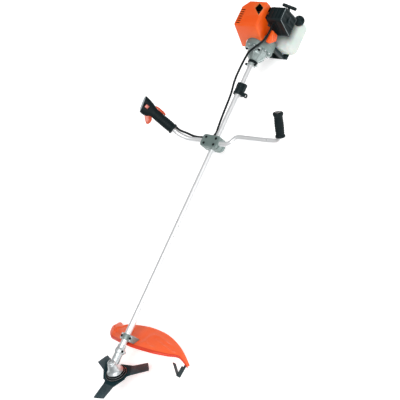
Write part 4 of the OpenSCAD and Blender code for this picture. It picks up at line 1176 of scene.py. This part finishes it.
sides = [(GUARD_AT, -2), (GUARD_AT + BRACKET, -2), (GUARD_AT + BRACKET, guard_height(GUARD_AT + BRACKET) - 1),
         (GUARD_AT, guard_height(GUARD_AT) - 1)]
saddle = rounded(plate(sides, -EAR, EAR, LEVER_TURN), 2.4, 3)
saddle = cut_out(saddle, along_tube(TUBE_R + 0.05, 100, 180))
piece("guard_saddle", saddle, GREY_CAST, ["guard_bracket"], sharp=35)
hoop = rounded(lathe([(GUARD_AT + 2, TUBE_R + 3.4), (GUARD_AT + 28, TUBE_R + 3.4)], 56, ALONG_X), 1.2, 2, 50)
wings = rounded(box((GUARD_AT + 2, -EAR, -2), (GUARD_AT + 28, EAR, 2.4)), 1.2, 2)
hoop = combined(hoop, wings, "UNION")
hoop = cut_out(hoop, along_tube(TUBE_R + 0.05, 100, 180), box((100, -50, -60), (180, 50, -2)))
piece("guard_hoop", hoop, GREY_CAST, ["guard_clamp"], sharp=35)
print("guard bracket fitted")

# %% [markdown]
# ## Small screws and the ground skirt
# The clamping screws of the head, bracket, harness shell and clutch collar are one CAD node, so they are one
# piece here as well. They get real socket heads. The skirt under the guard's end keeps its CAD solid with
# its edges rounded, and the line cutter beside it does too.

# %% Screws
heads = [screw_head((72, -23, 8), (0, 0, 1), 4.4, 4), screw_head((72, -23, -8), (0, 0, -1), 4.4, 3)]
for side in (-1, 1):
    heads.append(screw_head((GUARD_AT + 15, side * (TUBE_R + 12), 2.4), (0, 0, 1), 4.6, 4))
    heads.append(screw_head((FLANGE - 74, side * (TUBE_R + 13), 7), (0, 0, 1), 4.8, 4.6))
    heads += [screw_head((HARNESS_X + 18 * t, side * (TUBE_R + 6), 7), (0, 0, 1), 4.4, 4) for t in (-1, 1)]
piece("small_screws", merged(*heads), BLACK_SCREW, ["clamp_screws"], sharp=30)
bright = [screw_head((GUARD_AT + x, side * (EAR - 6), 2.4), (0, 0, 1), 3.8, 3.2)
          for x in (6, 24) for side in (-1, 1)]
piece("bracket_bright_screws", merged(*bright), BRIGHT, sharp=30)


def soften(node, width, rounds=2):
    """Rounds the hard edges of a CAD node with a modifier; its mesh stays as it is."""
    rounding = nodes[node].modifiers.new("rounded_edges", "BEVEL")
    rounding.width = width * MM
    rounding.segments = rounds
    rounding.limit_method = "ANGLE"
    rounding.angle_limit = math.radians(40)


for node in ("guard_skirt", "line_cutter"):
    dress(node, BLACK)
    soften(node, 0.7)
print("screws", len(heads) + len(bright))

# %% [markdown]
# ## Clutch housing
# Between tube and engine sits a cast cone with ribs. It holds the tube in a split collar and spreads out to
# four bolts round the clutch drum. The cone is turned with its drum chamber open towards the engine, and
# the ribs are thin tapering walls with rounded crests, set every 45 degrees. A rubber ring hugs the collar.

# %% Clutch housing
COLLAR_R = TUBE_R + 6
CONE = [(-79, TUBE_R + 0.1), (-79, COLLAR_R - 1), (-78, COLLAR_R), (-67.5, COLLAR_R), (-66.5, COLLAR_R - 0.8),
        (-53.5, COLLAR_R - 0.8), (-52.5, COLLAR_R + 1.5), (-50, COLLAR_R + 3.4), (-44, 26.4), (-34, 33.5),
        (-26, 40.5), (-22, 43.6), (-18, 44.6), (-9, 44.8), (-8, 46.2), (-1, 46.6), (0, 46), (0, 39.5),
        (-28, 39.5), (-28, 16), (-40, 14.1)]
FLANGE_BOLT = 37
CORNERS = [(y, z) for y in (-1, 1) for z in (-1, 1)]


def cone_rib(angle):
    outline = [(-51, COLLAR_R), (-12, 42), (-1.5, 42), (-1.5, 48), (-10, 48), (-24, 46.2), (-38, 36.4),
               (-50, 25.6)]
    wall = rounded(plate(outline, -1.5, 1.5), 0.9, 2)
    return moved(wall, Matrix.Rotation(math.radians(angle), 4, "X"))


cone = merged(ring_lathe(CONE, 64, ALONG_X), *[cone_rib(45 * k + 22.5) for k in range(8)])
lugs = []
for y, z in CORNERS:
    lug_place = Matrix.Translation((0, y * FLANGE_BOLT, z * FLANGE_BOLT)) @ ALONG_X
    lugs.append(rounded(lathe([(-8, 10), (-0.2, 10)], 28, lug_place), 1.0, 2, 50))
    lugs.append(rounded(box((-8, -9, 30), (-0.3, 9, 52), Matrix.Rotation(math.atan2(-y, z), 4, "X")), 1.0, 2))
for side in (-1, 1):
    edges = sorted((side * 15, side * 32))
    lugs.append(rounded(box((-78.6, edges[0], -7), (-69, edges[1], 7)), 2.2, 3))
piece("clutch_cone", merged(cone, *lugs), CLUTCH_CAST, ["clutch_housing"], place=ENGINE,
      sharp=36)
BEADS = [(0.0, 2), (0.8, 3), (3, 3.1), (4, 2.3), (5.2, 2.3), (6.2, 3.1), (7, 3.1), (8, 2.3), (9, 3.1),
         (11.2, 3), (12, 2)]
collar = [(-66, COLLAR_R + 0.05), *[(-66 + d, COLLAR_R + r) for d, r in BEADS], (-54, COLLAR_R + 0.05)]
piece("rubber_ring", ring_lathe(collar, 56, ALONG_X), RUBBER, ["rubber_collar"], place=ENGINE)
print("clutch housing ready")

# %% [markdown]
# ## Fan housing and crankcase
# The flywheel blows its cooling air from a round, flat drum of cast alloy. The crankcase block stands
# behind it. Short ribs and bright screws sit round the drum's face, four seats take the clutch housing's
# bolts, and cooling ribs cross the block's sides.

# %% Crankcase casting
FAN_R = 66
DRUM = [(4, 20), (4, 60), (5.2, 63.4), (8, 65.4), (11, FAN_R), (26, FAN_R), (27, 65), (29, 65), (30, FAN_R),
        (55, FAN_R), (58, 65.2), (60.4, 63), (61, 60), (61, 0)]


def drum_point(angle, radius):
    return radius * math.cos(math.radians(angle)), radius * math.sin(math.radians(angle))


parts = [lathe([(0.3, 20), (0.3, 46.8), (4.4, 47.4), (4.4, 20)], 64, ALONG_X), lathe(DRUM, 80, ALONG_X)]
for k in range(12):
    rib = rounded(box((2.6, -1.4, 47), (6, 1.4, 63)), 0.8, 2)
    parts.append(moved(rib, Matrix.Rotation(math.radians(30 * k), 4, "X")))
for y, z in CORNERS:
    seat = Matrix.Translation((0, y * FLANGE_BOLT, z * FLANGE_BOLT)) @ ALONG_X
    parts.append(rounded(lathe([(0, 10), (9, 10.6)], 28, seat), 0.8, 2, 50))
BLOCK = rounded(box((58, -36, -40), (137, 36, 36)), 5, 4)
parts.append(BLOCK)
for k in range(6):
    parts.append(rounded(box((68 + 11.5 * k, -37.6, -38), (71.6 + 11.5 * k, 37.6, 30)), 1.1, 2))
for x in (66, 130):
    parts.append(rounded(box((x - 3, -38, -42), (x + 3, 38, -38)), 1, 2))
piece("crankcase_casting", merged(*parts), GREY_CAST, ["crankcase"], place=ENGINE, sharp=36)
case_screws = []
for angle in (15, 75, 105, 165, 195, 255, 285, 345):
    y, z = drum_point(angle, 56.5)
    case_screws.append(screw_head((4.2, y, z), (-1, 0, 0), 3.8, 3.4))
for z in (-28, 20):
    case_screws.append(screw_head((74, -38, z), (0, -1, 0), 4, 3.6))
    case_screws.append(screw_head((126, -38, z), (0, -1, 0), 4, 3.6))
piece("crankcase_bright_screws", merged(*case_screws), BRIGHT, place=ENGINE, sharp=30)
flange_screws = {"flange_black_screws": [(-1, 1), (1, 1), (1, -1)], "flange_bright_screw": [(-1, -1)]}
for name, seats in flange_screws.items():
    heads = [screw_head((-8, y * FLANGE_BOLT, z * FLANGE_BOLT), (-1, 0, 0), 5.6, 5.4) for y, z in seats]
    black = "black" in name
    piece(name, merged(*heads), BLACK_SCREW if black else BRIGHT,
          ["engine_bolts"] if black else (), place=ENGINE, sharp=30)
print("crankcase ready")

# %% [markdown]
# ## Cylinder cover
# The orange cowl is the machine's face. It is a thin shell: the meeting of a side outline and a plan
# outline, with softly rounded edges. Building it from those two prisms keeps the moulded draft angles
# crisp. A four-cornered window and seven cooling slots are then cut through it. A thin rim runs round the
# window, where the moulding is folded inwards, and its brighter orange is a painted highlight. The
# underside is opened before the hollow is cut, because `combined` sets all face directions anew, and a
# hollow with no way out would be filled again. A near-black lining is painted shade: it stands for the deep
# shade that is seen through the openings.

# %% Cover blank
COVER_SIDE = [(8, 16), (46, 98), (61, 130), (189, 130), (189, 62), (150, 16)]
COVER_PLAN = [(0, -47), (192, -47), (192, 52), (158, 90), (0, 92)]
WINDOW = [(180, -6), (154, -45), (116, -34), (153, 8)]
WINDOW_MIDDLE = (151, -19)
WALL = 3.4
SIDE_TURN = Matrix.Rotation(math.radians(90), 4, "X")


def shrunk(outline, by):
    """The outline of a convex plate moved in by a distance."""
    points = [Vector((x, y)) for x, y in outline]
    area = sum(a.cross(b) for a, b in zip(points, points[1:] + points[:1]))
    turn = 1 if area > 0 else -1
    moved_in = []
    for i, p in enumerate(points):
        a, b = (p - points[i - 1]).normalized(), (points[(i + 1) % len(points)] - p).normalized()
        na, nb = Vector((-a.y, a.x)) * turn, Vector((-b.y, b.x)) * turn
        half = (na + nb).normalized()
        moved_in.append(p + half * (by / half.dot(na)))
    return [(p.x, p.y) for p in moved_in]


def cover_solid(by=0):
    """Where the side outline and the plan outline meet, both moved in by a distance."""
    side = plate(shrunk(COVER_SIDE, by), -130, 130, SIDE_TURN)
    plan = plate(shrunk(COVER_PLAN, by), -60, 260)
    return combined(side, plan, "INTERSECT")


def cover_blank(soft):
    blank = cover_solid()
    bmesh.ops.remove_doubles(blank, verts=blank.verts, dist=0.01)
    bmesh.ops.dissolve_limit(blank, angle_limit=0.02, verts=blank.verts, edges=blank.edges)
    return rounded(blank, soft, 4, 12)


def window_ring(grow, low, high):
    """The window's outline, grown about its middle, as a plate between two heights."""
    cx, cy = WINDOW_MIDDLE
    return plate([(cx + (x - cx) * grow, cy + (y - cy) * grow) for x, y in WINDOW], low, high)


# %% Cover details
filter_gap = plate([(97, -2), (124, 98), (197, 98), (197, -2)], 38, 62, SIDE_TURN)
cowl = cut_out(cover_blank(7), box((18, -43.6, -8), (186, 86.6, 26)), cover_solid(WALL),
               lathe([(-10, FAN_R + 2), (66, FAN_R + 2)], 72, ALONG_X),
               lathe([(137, 46.4), (220, 46.4)], 64, ALONG_X),
               filter_gap, rounded(window_ring(1.0, 104, 142), 2.4, 3, 20))
for k in range(7):
    cowl = cut_out(cowl, rounded(box((68 + 11.5 * k, 58, 118), (73.5 + 11.5 * k, 84, 142)), 1.2, 2))
piece("cylinder_cowl", cowl, ORANGE, ["cylinder_cover"], place=ENGINE, sharp=34)
# The lining's near-black is painted shade, seen through the window and the slots.
shade = cut_out(cover_solid(WALL + 0.6), box((-20, -80, -8), (220, 120, 58)), cover_solid(WALL + 1.6),
                box((60, -60, 50), (200, -40, 100)), window_ring(1.3, 104, 142),
                box((64, 54, 118), (146, 88, 142)))
piece("cowl_painted_shade_lining", shade, PAINTED_SHADE_BLACK, place=ENGINE, sharp=34)
rim = cut_out(rounded(window_ring(1.12, 126.6, 131.2), 1.2, 3, 20),
              rounded(window_ring(0.98, 120, 140), 2, 3, 20))
# A lighter, glossier orange than the cowl: a painted highlight along the window's edge and the side rib.
ORANGE_PAINTED_HIGHLIGHT = finish("orange_painted_highlight", (0.95, 0.23, 0.05), (0.9, 0.17, 0.03), 0.22, coat=0.6, bump=0.01)
piece("cowl_window_highlight_rim", rim, ORANGE_PAINTED_HIGHLIGHT, place=ENGINE, sharp=40)
print("cowl ready")

# %% [markdown]
# A second, smaller orange cover closes the space between the fan housing and the carburettor. The throttle
# cable passes over it, and a straight raised rib crosses it; the rib's brighter orange is a painted
# highlight. The parts deep in the engine keep their CAD solids and only get a finish. The plug's rubber
# cap and the primer's clear dome are turned shapes.

# %% Side cover, inner parts, plug cap and primer
SMALL_SIDE = [(27, 52), (88, 52), (88, 9), (60, 0), (28, 34)]
small = rounded(plate(SMALL_SIDE, 67, 82, SIDE_TURN), 4, 4)
small = cut_out(small, plate(shrunk(SMALL_SIDE, 8), 60, 76, SIDE_TURN))
piece("small_side_cowl", small, ORANGE, ["side_cover"], place=ENGINE, sharp=35)
# The rib's bright orange is a painted highlight.
rib_path = [Vector((40, -82.2, 28)), Vector((82, -82.2, 45))]
piece("side_cowl_highlight_rib", sweep(rib_path, 1.3, 10), ORANGE_PAINTED_HIGHLIGHT, place=ENGINE, sharp=60)
dress("muffler", DARK_STEEL)
# The cylinder's near-black is painted shade: it sits deep under the cowl.
dress("cylinder", PAINTED_SHADE_BLACK)
dress("spark_plug", CERAMIC)
dress("carburettor", DARK_STEEL)
dress("choke_lever", BLACK)
for node in ("carburettor", "choke_lever"):
    soften(node, 0.8)
boot_base = Vector((108, -5, 100))
PLUG_DIR = Vector((0.80, -0.33, 0.50)).normalized()
boot = lathe([(18, 4.1), (18, 8), (19, 9), (23, 9), (24, 8), (26, 8), (27, 9), (30, 9), (31, 8.4), (35, 8),
              (37.4, 6.4), (38, 4), (38, 0)], 28, aimed(boot_base, PLUG_DIR))
piece("plug_cap", boot, RUBBER, ["plug_boot"], place=ENGINE)
bulb_profile = [(0, 8), (1, 8), (1.4, 7.4), (3, 7.6), (5, 7.2), (7, 6.2), (8.6, 4.6), (9.8, 2.4), (10.3, 0)]
piece("primer_dome", lathe(bulb_profile, 32, aimed((150, -115, -6), (0, 0, -1))), BULB,
      ["primer_bulb"], "primer", ENGINE, sharp=60)
print("fuel side ready")

# %% [markdown]
# ## Air filter
# The black box beside the cowl holds the filter foam. Its top has four sunken pads with ribs between them,
# its side and front have longer ones, and a row of fins closes its rear. Two thin pale strips along its
# edges are painted highlights. The box is made from a rounded block with pockets cut into it, since
# pockets give true shadows that a bump would not.

# %% Air filter box
FILTER_SIDE = [(92, -6), (120, 95), (186, 95), (186, -6)]
FILTER_OUT, FILTER_IN = -140, -50
FRONT_SLOPE = (120 - 92) / (95 + 6)


filter_shell = rounded(plate(FILTER_SIDE, -FILTER_IN, -FILTER_OUT, SIDE_TURN), 6, 4)
pads = []
for k in range(4):
    y = -133 + 20.2 * k
    pads.append(rounded(box((128, y, 91.6), (179, y + 13.8, 99)), 1.8, 2))
for k in range(3):
    x = 112 + 24 * k
    pads.append(rounded(box((x, -144, 6 + 2 * (k == 0)), (x + 15, -137.4, 82)), 1.6, 2))
lean = Matrix.Rotation(-math.atan(FRONT_SLOPE), 4, "Y")
front_mark = Matrix.Translation((92, 0, -6)) @ lean.inverted()
for k in range(2):
    pads.append(rounded(box((-4, -130 + 36 * k, 14), (1.6, -104 + 36 * k, 88), front_mark), 1.8, 2))
hollow = combined(plate(shrunk(FILTER_SIDE, 4), 36, 98, SIDE_TURN), box((80, -98, -1), (150, -36, 76)),
                  "INTERSECT")
filter_shell = cut_out(filter_shell, hollow, *pads,
                       lathe([(80, 6.2), (126, 6.2)], 32, Matrix.Translation((0, -75, 62)) @ ALONG_X),
                       lathe([(-7, 9), (-2, 9)], 32, Matrix.Translation((150, -115, 0))))
piece("filter_housing", filter_shell, BLACK, ["air_filter"], place=ENGINE, sharp=34)
fins = [rounded(box((184.5, -134 + 10 * k, 6), (189, -130.5 + 10 * k, 88)), 1, 2) for k in range(8)]
latch = rounded(box((150, -53, 60), (166, -48.5, 84)), 1.4, 2)
piece("filter_fins_and_latch", merged(*fins, latch), BLACK, place=ENGINE, sharp=34)
# Pale grey strips along the box's top and front edges: painted highlights.
EDGE_HIGHLIGHT_GREY = finish("pale_painted_edge_highlight", (0.34, 0.40, 0.41), (0.26, 0.31, 0.32), 0.3, coat=0.3)
lines = [sweep([Vector(a), Vector(b)], 0.9, 8) for a, b in
         (((184, -138.8, 94.2), (122, -138.8, 94.2)), ((119.4, -138.9, 92), (94.8, -138.9, 2)))]
piece("filter_edge_highlights", merged(*lines), EDGE_HIGHLIGHT_GREY, place=ENGINE, sharp=80)
print("air filter ready")

# %% [markdown]
# ## Fuel tank and cap
# The tank is blow-moulded from milky plastic, so every corner is fat and round, and a box with very round
# edges is enough. The cap screws on a neck that leans outwards, to be filled without a funnel. Its rim is
# knurled for wet fingers, and a bar across the top gives them something to turn.

# %% Tank
TANK_LOW, TANK_HIGH = (62, -115, FLOOR_Z + 5), (221, 45, -50)
CAP_AT = Vector((203, -115.5, -46.5))
CAP_DIR = Vector((0, -1, 1)).normalized()
tank = rounded(box(TANK_LOW, TANK_HIGH), 24, 7)
neck = lathe([(-26, 18), (-4, 18), (-3, 17), (0, 17), (0, 0)], 40, aimed(CAP_AT, CAP_DIR))
tank = combined(tank, neck, "UNION")
piece("tank_shell", tank, TANK, ["fuel_tank"], place=ENGINE, sharp=50)
cap_profile = [(-8, 24, 0), (-7, 24, 0), (-6, 24, 1), (6.6, 24, 1), (8, 23.6, 0), (10, 22.6, 0),
               (11.4, 20, 0), (12, 17, 0), (12, 0, 0)]
cap_ring = ribbed_lathe(cap_profile, 24, 1.3, aimed(CAP_AT, CAP_DIR))
cap_ring = cut_out(cap_ring, lathe([(-12, 18.4), (1, 18.4)], 40, aimed(CAP_AT, CAP_DIR)))
handle_bar = moved(rounded(box((-15, -3.4, 11.4), (15, 3.4, 16)), 1.6, 3), aimed(CAP_AT, CAP_DIR))
piece("tank_cap", merged(cap_ring, handle_bar), BLACK, ["fuel_cap"], "filler_cap", ENGINE,
      sharp=34)
print("tank and cap ready")

# %% [markdown]
# ## Recoil starter
# The starter's round cup closes the engine's rear. Slots let the pulley's heat and chaff out. The rope
# leaves through a short guide up beside the air filter, so the handle can be pulled without moving the
# machine. The handle is a rounded bar with finger waists and a small pale plug over the rope's knot. The
# rope itself isn't modelled, so a pulled handle stands free of its guide.

# %% Starter cup and guide
STARTER_AT = Vector((221, -105, 41))
PULL_DIR = Vector((0.79, -0.36, 0.50)).normalized()
BAR_DIR = Vector((0, -0.82, -0.57)).normalized()
cup = ring_lathe([(137, 41), (137, 45.6), (138, 46), (186, 46), (191, 44.6), (194, 41), (195, 36), (195, 0.1),
                  (190, 0.1), (190, 41)], 72, ALONG_X)
for k in range(10):
    slot_box = rounded(box((188, -2.6, 15), (200, 2.6, 36)), 1.8, 2)
    cup = cut_out(cup, moved(slot_box, Matrix.Rotation(math.radians(36 * k), 4, "X")))
guide_start, guide_end = Vector((189, -24, 8)), STARTER_AT - PULL_DIR * 22
guide = sweep([guide_start, guide_start.lerp(guide_end, 0.5), guide_end], 9, 28)
mouth = lathe([(-26, 8), (-26, 9), (-16.4, 9), (-15, 8), (-15, 4)], 28, aimed(STARTER_AT, PULL_DIR))
hub = lathe([(194, 13), (195.6, 13), (196.6, 11), (196.6, 0)], 32, ALONG_X)
piece("starter_cup", merged(cup, guide, mouth), BLACK, ["recoil_housing"], place=ENGINE,
      sharp=34)
hub_screws = [screw_head((194.6, *drum_point(45 + 90 * k, 40.5)), (1, 0, 0), 3.2, 2.6) for k in range(4)]
piece("starter_screws", merged(hub, *hub_screws), BLACK_SCREW, place=ENGINE, sharp=30)

# %% Starter handle
bar = []
for k in range(29):
    s = -35 + 2.5 * k
    end = 35 - abs(s)
    radius = 8.4 * math.sqrt(max(0.05, 1 - (1 - min(1, end / 5)) ** 2))
    bar.append((s, radius - 0.9 * (0.5 - 0.5 * math.cos(2 * math.pi * s / 17.5)) * (end > 5)))
t_bar = lathe(bar, 28, aimed(STARTER_AT, BAR_DIR))
stem = lathe([(-14, 5), (-13, 6.5), (-4, 6.5), (0, 7)], 24, aimed(STARTER_AT, PULL_DIR))
piece("pull_handle", merged(t_bar, stem), BLACK, ["starter_handle"], "starter", ENGINE,
      sharp=45)
knot = lathe([(6.5, 3.6), (8.3, 3.6), (8.8, 2.4), (8.8, 0)], 20, aimed(STARTER_AT, PULL_DIR))
piece("rope_plug", knot, GREY_BAND, body="starter", place=ENGINE)
print("starter ready")

# %% [markdown]
# ## Stand
# A flat black foot under the tank lets the engine be set down. It stays the CAD solid, with its edges
# rounded as moulded plastic would be.

# %% Stand
dress("stand", BLACK)
soften("stand", 1.6, 3)
print("stand ready")

# %% [markdown]
# ## Closing
# The boxes of the CAD model and of the finished machine are written side by side, so that a difference in
# size would show.

# %% Write the sizes and finish
finished_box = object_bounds()
for name, pair in (("cad", cad_box), ("visual", finished_box)):
    print(name, [[round(v, 4) for v in p] for p in pair])
